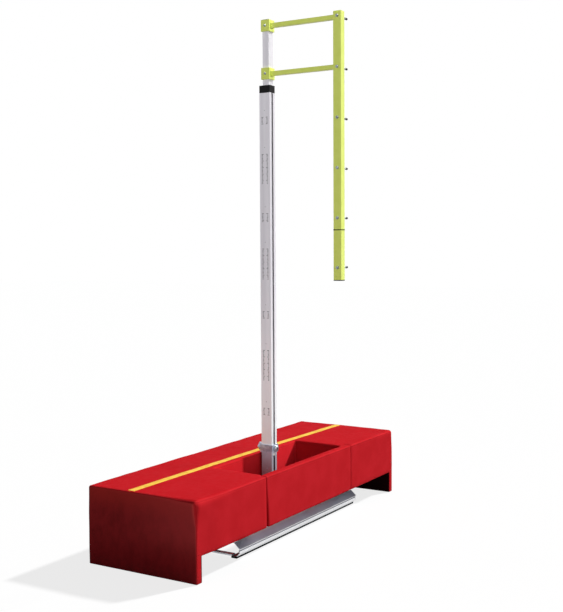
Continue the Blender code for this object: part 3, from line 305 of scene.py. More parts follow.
def vinyl(name, base, deep, seams=()):
    """Coated fabric over foam: leather grain, mottling, painted shade in the hollow and sewn seams.

    The pad's two outer ends are blotched, paler towards +X and grimy towards the floor. Their paler top is
    painted light.
    """
    f = Finish(name, 0.6, Specular_IOR_Level=0.005)
    grain = f.cells(0.0022, "DISTANCE_TO_EDGE")
    pores = f.noise(0.0011, 2.0)
    cloud = f.noise(0.16, 4.0, 0.55)
    blotch = f.noise(0.035, 3.0, 0.6)
    streaks = f.noise((0.085, 0.085, 0.14), 5.0, 0.62)
    tone = f.mix(f.between(cloud, 0.3, 0.7), colour(*deep), colour(*base))
    tone = f.mix(f.between(blotch, 0.55, 0.8, 0.0, 0.35), tone, colour(*deep))
    # Painted shade: faces that look up are made darker, where the key falls on them most.
    tone = f.mix(f.between(f.facing("Z"), 0.75, 0.95, 0.0, 0.6), tone, colour(*VINYL_TOP_PAINTED_SHADE))
    inward = f.within("Y", PAD_Y[0] + END_DEPTH, PAD_Y[1] - END_DEPTH, 0.02)
    end = f.between(f.math("ABSOLUTE", f.facing("Y")), 0.75, 0.95)
    end = f.math("MULTIPLY", end, f.math("SUBTRACT", 1.0, inward))
    tone = f.mix(f.math("MULTIPLY", end, 0.5), tone, colour(*VINYL_END))
    worn = f.math("MULTIPLY", end, f.between(streaks, 0.36, 0.70, 0.0, 0.55))
    tone = f.mix(worn, tone, colour(*VINYL_STREAK))
    # Painted light: the ends grow paler towards the top, where light catches their rounded edge.
    band = f.math("MULTIPLY", end, f.between(f.part("Z"), END_LIGHT_FOOT, PAD_HEIGHT, 0.0, 0.7))
    tone = f.mix(band, tone, colour(*VINYL_END_TOP_PAINTED_LIGHT))
    # A paler patch on the ends, growing towards +X and upwards.
    paler = f.between(f.part("X"), *PALER_X, 0.0, 0.6)
    paler = f.math("MULTIPLY", paler, f.between(f.part("Z"), *PALER_RISE))
    tone = f.mix(f.math("MULTIPLY", end, paler), tone, colour(*VINYL_END_PALER))
    foot = f.math("MULTIPLY", end, f.between(f.part("Z"), 0.0, DARK_FOOT_TOP, 0.5, 0.0))
    tone = f.mix(foot, tone, colour(*VINYL_FOOT))
    low = f.between(f.part("Z"), 0.0, GRIME_TOP, 1.0, 0.0)
    low = f.math("MULTIPLY", low, f.between(blotch, 0.35, 0.7))
    tone = f.mix(f.math("MULTIPLY", low, 0.3), tone, colour(*VINYL_GRIME))
    f.bump(cloud, 0.004, 0.25)
    f.bump(grain, 0.0002, 0.35)
    f.bump(pores, 0.00006, 0.3)
    plain = f.math("SUBTRACT", 1.0, end)
    for axis, places, along in seams:
        groove, thread = (f.math("MULTIPLY", part, plain) for part in seam(f, axis, places, along))
        tone = f.mix(f.math("MULTIPLY", groove, 0.2), tone, colour(*SEAM_GROOVE))
        tone = f.mix(f.math("MULTIPLY", thread, 0.4), tone, colour(*SEAM_THREAD))
        f.bump(groove, -0.0008, 0.8)
        f.bump(thread, 0.0004, 0.8)
    # Painted shade: the hollow under the pad is darkened, short of its outer rims and of the +X face.
    hollow_shade = f.within("Z", -1.0, HOLLOW_HEIGHT + 0.003)
    hollow_shade = f.math("MULTIPLY", hollow_shade, f.within("X", PAD_X[0] + HOLLOW_SHADE_INSET, BEYOND))
    across = f.within("Y", PAD_Y[0] + HOLLOW_SHADE_INSET, PAD_Y[1] - HOLLOW_SHADE_INSET)
    hollow_shade = f.math("MULTIPLY", hollow_shade, across)
    outside = f.between(f.facing("X"), 0.5, 0.8)
    outside = f.math("MULTIPLY", outside, f.within("X", FLAP_X[1] - PLAIN_DEPTH, BEYOND))
    hollow_shade = f.math("MULTIPLY", hollow_shade, f.math("SUBTRACT", 1.0, outside))
    tone = f.mix(hollow_shade, tone, colour(*HOLLOW_PAINTED_SHADE))
    rough = f.between(blotch, 0.3, 0.7, 0.54, 0.68)
    return f.done(Base_Color=tone, Roughness=rough)


def seam(f, axis, places, along):
    """A groove where the coordinate axis is near a place, with a row of stitches on either side.

    along is the coordinate that the stitches run along.
    """
    coordinate = f.part(axis)
    groove = thread = None
    dash = f.math("FRACT", f.math("DIVIDE", f.part(along), STITCH_PITCH))
    dash = f.math("MULTIPLY", f.between(dash, 0.08, 0.2), f.between(dash, 0.75, 0.88, 1.0, 0.0))
    for place in places:
        away = f.math("ABSOLUTE", f.math("SUBTRACT", coordinate, place))
        line = f.between(away, 0.0005, 0.0022, 1.0, 0.0)
        row = f.math("ABSOLUTE", f.math("SUBTRACT", away, SEAM_TO_STITCHES))
        row = f.math("MULTIPLY", f.between(row, 0.0004, 0.0011, 1.0, 0.0), dash)
        groove = line if groove is None else f.math("MAXIMUM", groove, line)
        thread = row if thread is None else f.math("MAXIMUM", thread, row)
    return groove, thread


def webbing():
    """Woven yellow ribbon."""
    f = Finish("webbing", 0.62, Specular_IOR_Level=0.25)
    across = f.math("SINE", f.math("MULTIPLY", f.part("X"), 2 * math.pi / WEAVE_PITCHES[0]))
    slant = f.math("ADD", f.part("Y"), f.part("X"))
    along = f.math("SINE", f.math("MULTIPLY", slant, 2 * math.pi / WEAVE_PITCHES[1]))
    weave = f.math("MULTIPLY", across, along)
    cloud = f.noise(0.05, 3.0)
    tone = f.mix(f.between(cloud, 0.3, 0.7), colour(232, 184, 48), colour(252, 208, 74))
    tone = f.mix(f.between(weave, -1.0, 0.2, 0.3, 0.0), tone, colour(186, 132, 22))
    f.bump(weave, 0.0003, 0.6)
    return f.done(Base_Color=tone)


def zinc_plate():
    """Hot-dip galvanised sheet with its spangle."""
    f = Finish("zinc plate", 0.45, 0.75)
    spangle = f.cells(0.014, "F1", "Color")
    grey = f.add("ShaderNodeSeparateXYZ", {0: spangle}).outputs[0]
    cloud = f.noise(0.09, 3.0)
    tone = f.mix(grey, colour(150, 154, 158), colour(196, 200, 203))
    tone = f.mix(f.between(cloud, 0.55, 0.8, 0.0, 0.4), tone, colour(132, 134, 136))
    f.bump(f.noise(0.002, 2.0), 0.0001, 0.4)
    return f.done(Base_Color=tone, Roughness=f.between(grey, 0.0, 1.0, 0.36, 0.55))


def grained(name, base, dark, roughness, metallic, pitch, depth, specular=0.5):
    """A surface with one grain: cast metal, moulded plastic or zinc on a bolt."""
    f = Finish(name, roughness, metallic, Specular_IOR_Level=specular)
    grain = f.noise(pitch, 3.0, 0.6)
    cloud = f.noise(0.03, 3.0)
    tone = f.mix(f.between(cloud, 0.3, 0.7), colour(*dark), colour(*base))
    tone = f.mix(f.between(grain, 0.55, 0.75, 0.0, 0.3), tone, colour(*dark))
    f.bump(grain, depth, 0.6)
    return f.done(Base_Color=tone, Roughness=f.between(cloud, 0.3, 0.7, roughness - 0.05, roughness + 0.08))


def socket_head(name, node, radius):
    """Zinc-plated steel on a head that faces +X, with painted shade for the socket in its middle."""
    f = Finish(name, 0.34, 0.8)
    centre = [middle(span(node, axis)) for axis in (1, 2)]
    away = [f.math("SUBTRACT", f.part(axis), place) for axis, place in zip("YZ", centre)]
    away = f.math("SQRT", f.math("ADD", *(f.math("MULTIPLY", part, part) for part in away)))
    cloud = f.noise(0.012, 3.0)
    tone = f.mix(f.between(cloud, 0.3, 0.7), colour(148, 158, 168), colour(186, 192, 198))
    # Painted shade: the socket's hole is a dark disc.
    socket = f.between(away, radius - 0.0006, radius + 0.0004, 1.0, 0.0)
    rim = f.math("SINE", f.math("DIVIDE", away, 0.0004))
    tone = f.mix(socket, tone, colour(22, 24, 28))
    f.bump(rim, 0.00003, 0.4)
    f.bump(socket, -0.002, 1.0)
    return f.done(Base_Color=tone)


def rubber():
    """Ribbed black rubber with a dusty bloom."""
    f = Finish("rubber", 0.85, Specular_IOR_Level=0.04)
    ribs = f.math("SINE", f.math("MULTIPLY", f.part("Y"), 2 * math.pi / RIB_PITCH))
    dust = f.noise(0.02, 4.0, 0.6)
    tone = f.mix(f.between(dust, 0.45, 0.75), colour(8, 8, 9), colour(22, 22, 22))
    f.bump(ribs, 0.0005, 0.5)
    return f.done(Base_Color=tone)


def hook_tape():
    """Hook-and-loop tape, all little hooks."""
    f = Finish("hook tape", 0.95, Specular_IOR_Level=0.2, Sheen_Weight=0.4)
    fuzz = f.cells(0.0012)
    tone = f.mix(f.between(fuzz, 0.1, 0.6), colour(46, 46, 48), colour(14, 14, 15))
    f.bump(fuzz, -0.0008, 0.9)
    return f.done(Base_Color=tone)


# The pad's seams: the coordinate they are places of, the places, and the coordinate they run along.
STITCHED = (
    ("Z", (PAD_HEIGHT - 0.016, HOLLOW_HEIGHT + 0.013, 0.013), "Y"),
    ("Y", (PAD_Y[0] + 0.016, PAD_Y[1] - 0.016), "Z"),
)
# Just inside the mast's outer faces, so that all of its inside and its slot's walls count as hollow and take
# the painted shade.
MAST_SKIN = 0.0016
MAST_SHELL = tuple(
    (low + MAST_SKIN, high - MAST_SKIN) for low, high in (span("outer_mast", axis) for axis in (0, 1))
)
# The first one's streaks run up the mast, and the second one's along the rails.
ANODISED = {
    "base": (240, 237, 244),
    "dark": (218, 215, 223),
    "light": (251, 249, 253),
    "roughness": 0.42,
    "metallic": 0.20,
    "fine": (0.0025, 0.0025, 1.4),
    "coarse": (0.03, 0.03, 2.5),
}
MILL = {
    "base": (224, 226, 232),
    "dark": (190, 194, 202),
    "light": (244, 244, 248),
    "roughness": 0.38,
    "metallic": 0.65,
    "fine": (0.0025, 1.2, 0.0025),
    "coarse": (0.010, 2.2, 0.010),
}
# The mast's painted light: paler towards its foot, cooled near the pad to cancel the pink light that the pad
# throws on it, and painted shade below the clamp, where it stands in the pad's slot.
MAST_PAINTED_LIGHT = (
    (PAD_HEIGHT, 1.3, 0.8, (255, 253, 255)),
    (-1.0, PAD_HEIGHT + 0.30, 0.40, (239, 252, 254)),
    (-1.0, span("clamp_collar", 2)[0] + 0.03, 0.02, (186, 191, 204)),
)
# The rail's pale foot and a bright line on either side of the dark line in its groove, which are painted
# light and highlights, its dark lower edge, and the greyer bluish web, which is painted reflection.
RAIL_FOOT = span("rail_inner", 2)[0]
RAIL_PAINTED_LIGHT_AND_LINES = (
    (RAIL_FOOT - 0.001, RAIL_FOOT + 0.041, 0.0010, (248, 249, 252)),
    (RAIL_FOOT - 0.001, RAIL_FOOT + 0.0042, 0.0004, (40, 40, 44)),
    (RAIL_FOOT + 0.030, RAIL_FOOT + 0.034, 0.0008, (252, 252, 254)),
    (RAIL_FOOT + 0.0425, RAIL_FOOT + 0.0475, 0.0010, (62, 62, 70)),
    (RAIL_FOOT + 0.0555, RAIL_FOOT + 0.0595, 0.0008, (252, 252, 254)),
    (RAIL_FOOT + 0.061, RAIL_FOOT + 0.094, 0.0040, (196, 198, 216)),
)
FINISH = {
    "anodised": streaked_metal("anodised aluminium", **ANODISED),
    "extrusion": streaked_metal("mill aluminium", **MILL),
    "zinc_plate": zinc_plate(),
    "black_steel": paint("black steel", (24, 24, 28), (15, 15, 17), roughness=0.45, specular=0.3),
    "fastener": grained(
        "bright zinc", (154, 162, 164), (118, 124, 124),
        roughness=0.32, metallic=0.80, pitch=0.0015, depth=0.0001
    ),
    # The cool tint of the cast metal is painted light: it cancels the pink light that the pad throws on the
    # clamp.
    "cast": grained(
        "cast aluminium", (192, 201, 216), (146, 155, 172),
        roughness=0.36, metallic=0.30, pitch=0.0022, depth=0.0003
    ),
    "yellow_paint": paint(
        "fluorescent yellow", (241, 254, 124), (235, 249, 114), roughness=0.34, specular=0.55
    ),
    "black_plastic": grained(
        "black plastic", (10, 9, 11), (6, 6, 7),
        roughness=0.45, metallic=0.0, pitch=0.0012, depth=0.0001, specular=0.12
    ),
    "nylon": grained(
        "white nylon", (228, 226, 218), (212, 208, 198),
        roughness=0.45, metallic=0.0, pitch=0.004, depth=0.0001
    ),
    "rubber": rubber(),
    "vinyl": vinyl("red vinyl", (200, 36, 44), (192, 32, 39), seams=STITCHED),
    "webbing": webbing(),
    "hook_tape": hook_tape(),
}
# Nodes whose finish shows something that no other node of their slot has.
NODE_FINISH = {
    "outer_mast": streaked_metal(
        "slotted anodised aluminium", **ANODISED, hollow=MAST_SHELL, bands=MAST_PAINTED_LIGHT
    ),
    "rail_inner": streaked_metal("rail aluminium", **MILL, bands=RAIL_PAINTED_LIGHT_AND_LINES),
    "rail_outer": streaked_metal("rail aluminium", **MILL, bands=RAIL_PAINTED_LIGHT_AND_LINES),
    "slot_bolt": socket_head("socket head bolt", "slot_bolt", radius=0.0075),
}


def dress_cad():
    """Give every CAD node the finish of its material slot in the record, or its own."""
    for part in frame["record"]["subparts"]:
        node = frame["nodes"][part["node"]]
        node.data.materials.clear()
        node.data.materials.append(NODE_FINISH.get(part["node"], FINISH[part["material_slot"]]))


dress_cad()


# Shared mesh code

def make_object(name, shape, finish, body, smooth=True):
    """A mesh object from a bmesh, dressed and riding on a body."""
    bmesh.ops.recalc_face_normals(shape, faces=shape.faces)
    mesh = bpy.data.meshes.new(name)
    shape.to_mesh(mesh)
    shape.free()
    for face in mesh.polygons:
        face.use_smooth = smooth
    mesh.materials.append(FINISH[finish])
    piece = bpy.data.objects.new(name, mesh)
    bpy.context.scene.collection.objects.link(piece)
    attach(piece, body)
    return piece


def grid_lines(start, end, pitch, keep=()):
    """Places from start to end about a pitch apart, with every place in keep among them."""
    fixed = sorted({start, end, *[k for k in keep if start < k < end]})
    lines = [fixed[0]]
    for a, b in zip(fixed, fixed[1:]):
        count = max(1, round((b - a) / pitch))
        lines += [a + (b - a) * n / count for n in range(1, count + 1)]
    return lines


def grid_skin(xs, ys, zs, holds):
    """The closed skin of the cells of a grid whose middles satisfy holds(x, y, z)."""
    shape = bmesh.new()
    made = {}
    lines = (xs, ys, zs)
    counts = [len(values) - 1 for values in lines]

    def vertex(index):
        if index not in made:
            made[index] = shape.verts.new([lines[a][index[a]] for a in range(3)])
        return made[index]

    centres = [[(v[n] + v[n + 1]) / 2 for n in range(len(v) - 1)] for v in lines]
    solid = {
        (i, j, k)
        for i in range(counts[0])
        for j in range(counts[1])
        for k in range(counts[2])
        if holds(centres[0][i], centres[1][j], centres[2][k])
    }
    for cell in solid:
        for axis in range(3):
            u, v = [a for a in range(3) if a != axis]
            for side in (0, 1):
                beyond = list(cell)
                beyond[axis] += 2 * side - 1
                if tuple(beyond) in solid:
                    continue
                corners = []
                for du, dv in ((0, 0), (1, 0), (1, 1), (0, 1)):
                    index = list(cell)
                    index[axis] += side
                    index[u] += du
                    index[v] += dv
                    corners.append(vertex(tuple(index)))
                shape.faces.new(corners)
    bmesh.ops.recalc_face_normals(shape, faces=shape.faces)
    return shape


def round_edges(shape, radius):
    """Bevel every edge that turns by more than a radian."""
    sharp = [e for e in shape.edges if len(e.link_faces) == 2 and e.calc_face_angle() > 1.0]
    bmesh.ops.bevel(
        shape, geom=sharp, offset=radius, offset_type="OFFSET", segments=3, profile=0.5,
        affect="EDGES", clamp_overlap=True
    )


# Pad

# The skins' grids and the bevel of their edges before they are rounded further.
SKIN_PITCH = 0.034
FLAP_PITCH = 0.02
EDGE_LINES = (0.012, 0.020, 0.034, 0.05)
PAD_BEVEL = 0.008
FLAP_BEVEL = 0.009
# The radius of the cover's outer edges, and how much more it is at the top of the near inner corner, of the
# far inner corner and along the near end.
EDGE_RADIUS = 0.010
NEAR_SOFTNESS, FAR_SOFTNESS, END_SOFTNESS = 0.036, 0.016, 0.005
# How far from those corners and from the near end that reaches, what a metre along Y counts for beside one
# along X at either corner, and the height that it sets in at and the rise that it grows over.
NEAR_REACH, FAR_REACH, END_REACH = 0.34, 0.3, 0.16
NEAR_STRETCH, FAR_STRETCH = 0.55, 0.7
SOFT_FOOT, SOFT_RISE = 0.34, 0.16
# How far the sides stand out, the ends' rims are drawn in and the top is crowned.
SIDE_BULGE = 0.0035
END_DRAW = 0.0015
TOP_CROWN = 0.0055
# Where that shaping of the sides, the ends and the top sets in, as a share of the way out from the pad's
# middle or up from the floor, and over how much it grows.
SIDE_ZONE, END_ZONE, TOP_ZONE = (0.88, 0.1), (0.95, 0.045), (0.8, 0.2)
# The cover's slow and fine unevenness, each with how many of its spots go to a metre and its height, and how
# far the sides, the ends and the top are drawn in to make room for it.
SLACK = ((3.1, 0.0016), (8.0, 0.0006))
SLACK_ROOM = (0.0012, 0.001, 0.0015)
# Creases by the sewn edges: their depth, how many go to a metre, how far up from the hollow's edge they
# reach, how far down from the top and over how much those at the top grow.
PUCKER_DEPTH = 0.0012
PUCKER_RATE = 9
PUCKER_RISE = 0.05
PUCKER_DROP, PUCKER_FADE = 0.09, 0.06
# How far the inner side comes in at the near end, and over how long a stretch.
NEAR_END_TAPER, TAPER_REACH = 0.014, 0.25
# How far the flap's near end is moved along Y, at its bottom and at its top, where minus is towards the near
# end, and over how long a stretch. The grid's lines next to the flap's two faces lie FLAP_EDGE in.
FLAP_LEAN, LEAN_REACH = (0.014, -0.0085), 0.12
FLAP_EDGE = 0.011
# How far the stripe wanders in X for each metre of Y, its distance from the pad's ends, the pitch of its
# rows, the strands across it, and how proud they and its edges are.
STRIPE_DRIFT = 0.0108
STRIPE_ENDS = (0.022, 0.020)
STRIPE_PITCH = 0.02
STRIPE_STRANDS = 6
STRIPE_RISE, STRIPE_EDGE_RISE = 0.0012, -0.0008


def swell(across):
    """How far a stuffed face stands out: 1 in its middle, 0 at its edges."""
    return max(0.0, 1 - across * across)


def ease(value):
    """0 below 0, 1 above 1, and smooth between."""
    t = min(1.0, max(0.0, value))
    return t * t * (3 - 2 * t)


def corner_radius(p):
    """How round the cover's outer edges are: most at the inner corners' tops, above all at the near one."""
    near = ease(1 - math.hypot(p.x - PAD_X[1], (p.y - PAD_Y[0]) * NEAR_STRETCH) / NEAR_REACH)
    far = ease(1 - math.hypot(p.x - PAD_X[1], (p.y - PAD_Y[1]) * FAR_STRETCH) / FAR_REACH)
    end = ease(1 - (p.y - PAD_Y[0]) / END_REACH) * (1 - near)
    high = ease((p.z - SOFT_FOOT) / SOFT_RISE)
    return EDGE_RADIUS + high * (NEAR_SOFTNESS * near + FAR_SOFTNESS * far + END_SOFTNESS * end)


def rounded(p):
    """Pull a point of the outer skin onto the rounded edges of the box."""
    radius = corner_radius(p)
    deep = Vector((
        max(0.0, radius - min(p.x - PAD_X[0], PAD_X[1] - p.x)),
        max(0.0, radius - min(p.y - PAD_Y[0], PAD_Y[1] - p.y)),
        max(0.0, radius - (PAD_HEIGHT - p.z)),
    ))
    if deep.length <= radius:
        return p.copy()
    pull = deep * (1 - radius / deep.length)
    to_x = 1 if p.x - PAD_X[0] < PAD_X[1] - p.x else -1
    to_y = 1 if p.y - PAD_Y[0] < PAD_Y[1] - p.y else -1
    return p + Vector((pull.x * to_x, pull.y * to_y, -pull.z))


def puckers(p):
    """Small creases that run down from the stitched top edge and up from the lower one, in metres."""
    low = ease((HOLLOW_HEIGHT + PUCKER_RISE - p.z) / PUCKER_RISE) if p.z > HOLLOW_HEIGHT - 0.01 else 0.0
    high = ease((p.z - PAD_HEIGHT + PUCKER_DROP) / PUCKER_FADE)
    run = noise.noise(Vector((p.x * PUCKER_RATE, p.y * PUCKER_RATE, 3.1)))
    return PUCKER_DEPTH * run * max(low, high)


def stuffed(point):
    """Where a point of the pad's plain box lies once the cover is filled.

    u, v and height run from -1 to 1 across the pad's width, length and height.
    """
    p = rounded(point)
    u = (p.x - middle(PAD_X)) / ((PAD_X[1] - PAD_X[0]) / 2)
    v = (p.y - middle(PAD_Y)) / ((PAD_Y[1] - PAD_Y[0]) / 2)
    w = p.z / PAD_HEIGHT
    height = 2 * w - 1
    moved = p.copy()
    side = ease((abs(u) - SIDE_ZONE[0]) / SIDE_ZONE[1])
    moved.x += math.copysign(SIDE_BULGE * swell(v) * swell(height) * side, u)
    end = ease((abs(v) - END_ZONE[0]) / END_ZONE[1])
    moved.y -= math.copysign(END_DRAW * (1 - swell(u) * swell(height)) * end, v)
    top = ease((w - TOP_ZONE[0]) / TOP_ZONE[1])
    moved.z += TOP_CROWN * swell(u) * swell(v) * top
    if u > 0:
        moved.x -= NEAR_END_TAPER * ease(1 - (p.y - PAD_Y[0]) / TAPER_REACH) * side
    slack = sum(noise.noise(p * rate) * depth for rate, depth in SLACK) + puckers(p)
    moved.x += (slack - SLACK_ROOM[0]) * side * math.copysign(1, u)
    moved.y -= (slack - SLACK_ROOM[1]) * end * math.copysign(1, -v)
    moved.z += (slack - SLACK_ROOM[2]) * top if w > 0.5 else 0.0
    return moved


def in_pad(x, y, z):
    """Whether a place lies in the pad's foam."""
    if SLOT_X[0] < x < SLOT_X[1] and SLOT_Y[0] < y < SLOT_Y[1]:
        return False
    if x > SLOT_X[1] and RECESS_Y[0] < y < RECESS_Y[1]:
        return False
    if z > HOLLOW_HEIGHT:
        return True
    return y < PAD_Y[0] + PAD_PANEL or y > PAD_Y[1] - PAD_PANEL or x < PAD_X[0] + PAD_PANEL


def near_edges(low, high):
    """Grid places close to a box's edges, where its corners are rounded."""
    return (*(low + step for step in EDGE_LINES), *(high - step for step in reversed(EDGE_LINES)))


def add_pad():
    """The pad's cover, cut into the outside and the lining of the slot, in the place of the CAD pad."""
    xs = grid_lines(*PAD_X, SKIN_PITCH, (*near_edges(*PAD_X), PAD_X[0] + PAD_PANEL, *SLOT_X))
    keep = (PAD_Y[0] + PAD_PANEL, PAD_Y[1] - PAD_PANEL, *SLOT_Y, *RECESS_Y, *near_edges(*PAD_Y))
    ys = grid_lines(*PAD_Y, SKIN_PITCH, keep)
    near_top = [PAD_HEIGHT - step for step in EDGE_LINES]
    zs = grid_lines(0, PAD_HEIGHT, SKIN_PITCH, (HOLLOW_HEIGHT, *near_top))
    shape = grid_skin(xs, ys, zs, in_pad)
    round_edges(shape, PAD_BEVEL)
    lining = shape.copy()
    walls = {face.index for face in shape.faces if in_slot_wall(face.calc_center_median())}
    for half, unwanted in ((shape, True), (lining, False)):
        half.faces.ensure_lookup_table()
        cut = [face for face in half.faces if (face.index in walls) == unwanted]
        bmesh.ops.delete(half, geom=cut, context="FACES")
    for name, half in (("pad_cover", shape), ("slot_lining", lining)):
        for vertex in half.verts:
            vertex.co = stuffed(vertex.co)
        piece = make_object(name, half, "vinyl", "base_frame")
        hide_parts("base_pad")


def in_slot_wall(p):
    """Whether a point of the plain box lies on the slot's walls, short of their bevelled rims."""
    reach, rim = 0.001, 0.004
    inside_x = SLOT_X[0] - reach < p.x < PAD_X[1] - rim
    inside_y = SLOT_Y[0] - reach < p.y < SLOT_Y[1] + reach
    return inside_x and inside_y and HOLLOW_HEIGHT < p.z < PAD_HEIGHT - rim


def add_flap():
    """The padded flap that closes the slot. Its near end stands off from the pad, most at the bottom."""
    xs = grid_lines(*FLAP_X, FLAP_PITCH, (FLAP_X[0] + FLAP_EDGE, FLAP_X[1] - FLAP_EDGE))
    ys = grid_lines(*FLAP_Y, SKIN_PITCH, near_edges(*FLAP_Y))
    zs = grid_lines(HOLLOW_HEIGHT, PAD_HEIGHT, SKIN_PITCH, near_edges(HOLLOW_HEIGHT, PAD_HEIGHT))
    shape = grid_skin(xs, ys, zs, lambda x, y, z: True)
    round_edges(shape, FLAP_BEVEL)
    for vertex in shape.verts:
        near = ease(1 - (vertex.co.y - FLAP_Y[0]) / LEAN_REACH)
        lift = ease((vertex.co.z - HOLLOW_HEIGHT) / (PAD_HEIGHT - HOLLOW_HEIGHT))
        vertex.co = stuffed(vertex.co)
        vertex.co.y += near * (FLAP_LEAN[0] + (FLAP_LEAN[1] - FLAP_LEAN[0]) * lift)
    flap = make_object("flap_cover", shape, "vinyl", "front_flap")
    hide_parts("front_flap")


def add_stripe():
    """The yellow ribbon sewn along the top, a little askew, which follows the cover."""
    shape = bmesh.new()
    rows = []
    for y in grid_lines(PAD_Y[0] + STRIPE_ENDS[0], PAD_Y[1] - STRIPE_ENDS[1], STRIPE_PITCH):
        row = []
        for n in range(STRIPE_STRANDS + 1):
            across = n / STRIPE_STRANDS
            x = STRIPE_X[0] + (STRIPE_X[1] - STRIPE_X[0]) * across + STRIPE_DRIFT * (y - middle(PAD_Y))
            rise = STRIPE_RISE if 0 < n < STRIPE_STRANDS else STRIPE_EDGE_RISE
            ground = stuffed(Vector((x, y, PAD_HEIGHT)))
            row.append(shape.verts.new((ground.x, ground.y, ground.z + rise)))
        rows.append(row)
    for a, b in zip(rows, rows[1:]):
        for n in range(STRIPE_STRANDS):
            shape.faces.new((a[n], a[n + 1], b[n + 1], b[n]))
    stripe = make_object("stripe_ribbon", shape, "webbing", "base_frame")
    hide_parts("pad_stripe")


add_pad()
add_flap()
add_stripe()


# Small details

# Half the gasket's height, how far it stands out and how deep it goes in.
GASKET_HALF = 0.0035
GASKET_PROUD = 0.0006
GASKET_DEPTH = 0.0004
# Height marks: groups of ticks by their top and length, in two columns beside the mast's middle. Every fifth
# tick is long, and a short upright dash stands over each group.
SCALE_GROUPS = (
    (3.12, 0.05), (2.84, 0.22), (2.39, 0.06), (2.12, 0.23), (1.64, 0.05), (1.34, 0.23), (0.89, 0.05)
)
COLUMN_OFFSET = 0.027
TICK_PITCH = 0.010
TICK_REACH, LONG_TICK_REACH = 0.010, 0.016
TICK_HALF = 0.0018
DASH_HALF = 0.002
DASH_RISE, DASH_LENGTH = 0.05, 0.004
PRINT_PROUD, PRINT_DEPTH = 0.0002, 0.0003
# Weld beads: their radius, the shares of it that ripple and vary, the steps along them, a step's share of a
# ripple in radians, and the sides of the tube.
BEAD_RADIUS = 0.0028
BEAD_RIPPLE, BEAD_UNEVENNESS = 0.22, 0.1
BEAD_STEP = 0.0022
RIPPLE_TURN = 2.1
BEAD_SIDES = 6
ARM_BEAD_INSET = 0.0008
FOOT_BEAD_RISE = 0.0006


def add_ring(shape, low, high, proud, thickness):
    """A square band around an upright bar, between two heights, standing proud of its faces."""
    xs = (low[0] - proud, low[0] + thickness, high[0] - thickness, high[0] + proud)
    ys = (low[1] - proud, low[1] + thickness, high[1] - thickness, high[1] + proud)
    for x in xs[::3]:
        inner = xs[1] if x == xs[0] else xs[2]
        add_block(shape, (min(x, inner), ys[0], low[2]), (max(x, inner), ys[3], high[2]))
    for y in ys[::3]:
        inner = ys[1] if y == ys[0] else ys[2]
        add_block(shape, (xs[1], min(y, inner), low[2]), (xs[2], max(y, inner), high[2]))


def add_block(shape, low, high):
    """A box between two corners."""
    verts = [
        shape.verts.new((x, y, z))
        for x in (low[0], high[0]) for y in (low[1], high[1]) for z in (low[2], high[2])
    ]
    for quad in ((0, 1, 3, 2), (4, 6, 7, 5), (0, 4, 5, 1), (2, 3, 7, 6), (0, 2, 6, 4), (1, 5, 7, 3)):
        shape.faces.new([verts[n] for n in quad])


def add_joint_band():
    """The dark gasket that shows as a line where the lower length of the bar is joined on."""
    low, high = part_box("bar_extension")
    joint = span("standard_bar", 2)[0]
    shape = bmesh.new()
    foot = Vector((low.x, low.y, joint - GASKET_HALF))
    head = Vector((high.x, high.y, joint + GASKET_HALF))
    add_ring(shape, foot, head, GASKET_PROUD, GASKET_DEPTH)
    make_object("bar_joint_gasket", shape, "rubber", "raising_mast", smooth=False)


def add_scale():
    """Height marks on the mast's near face: fine ticks without numbers, in short and long groups."""
    shape = bmesh.new()
    face = MAST_FRONT - PRINT_PROUD
    back = face + PRINT_DEPTH
    for column, way in ((MAST.x - COLUMN_OFFSET, 1), (MAST.x + COLUMN_OFFSET, -1)):
        for top, length in SCALE_GROUPS:
            for n in range(round(length / TICK_PITCH) + 1):
                reach = LONG_TICK_REACH if n % 5 == 0 else TICK_REACH
                ends = sorted((column, column + way * reach))
                z = top - n * TICK_PITCH
                add_block(shape, (ends[0], face, z - TICK_HALF), (ends[1], back, z + TICK_HALF))
    for top, _ in SCALE_GROUPS:
        foot = top + DASH_RISE
        add_block(shape, (MAST.x - DASH_HALF, face, foot), (MAST.x + DASH_HALF, back, foot + DASH_LENGTH))
    make_object("mast_scale", shape, "black_plastic", "carriage", smooth=False)


def add_bead(name, points, body, finish):
    """A weld bead: a rippled tube along a closed run of points."""
    shape = bmesh.new()
    rings = []
    run = []
    for a, b in zip(points, points[1:] + points[:1]):
        count = max(2, round((b - a).length / BEAD_STEP))
        run += [a.lerp(b, n / count) for n in range(count)]
    for n, place in enumerate(run):
        along = (run[(n + 1) % len(run)] - run[n - 1]).normalized()
        across = along.orthogonal().normalized()
        other = along.cross(across)
        ripple = BEAD_RIPPLE * math.sin(n * RIPPLE_TURN)
        radius = BEAD_RADIUS * (1 + ripple + BEAD_UNEVENNESS * noise.noise(place * 300))
        turns = [2 * math.pi * k / BEAD_SIDES for k in range(BEAD_SIDES)]
        rings.append([
            shape.verts.new(place + (across * math.cos(t) + other * math.sin(t)) * radius) for t in turns
        ])
    for a, b in zip(rings, rings[1:] + rings[:1]):
        shift = min(range(BEAD_SIDES), key=lambda k: (a[0].co - b[k].co).length)
        b = b[shift:] + b[:shift]
        for k in range(BEAD_SIDES):
            beside = (k + 1) % BEAD_SIDES
            shape.faces.new((a[k], a[beside], b[beside], b[k]))
    make_object(name, shape, finish, body)


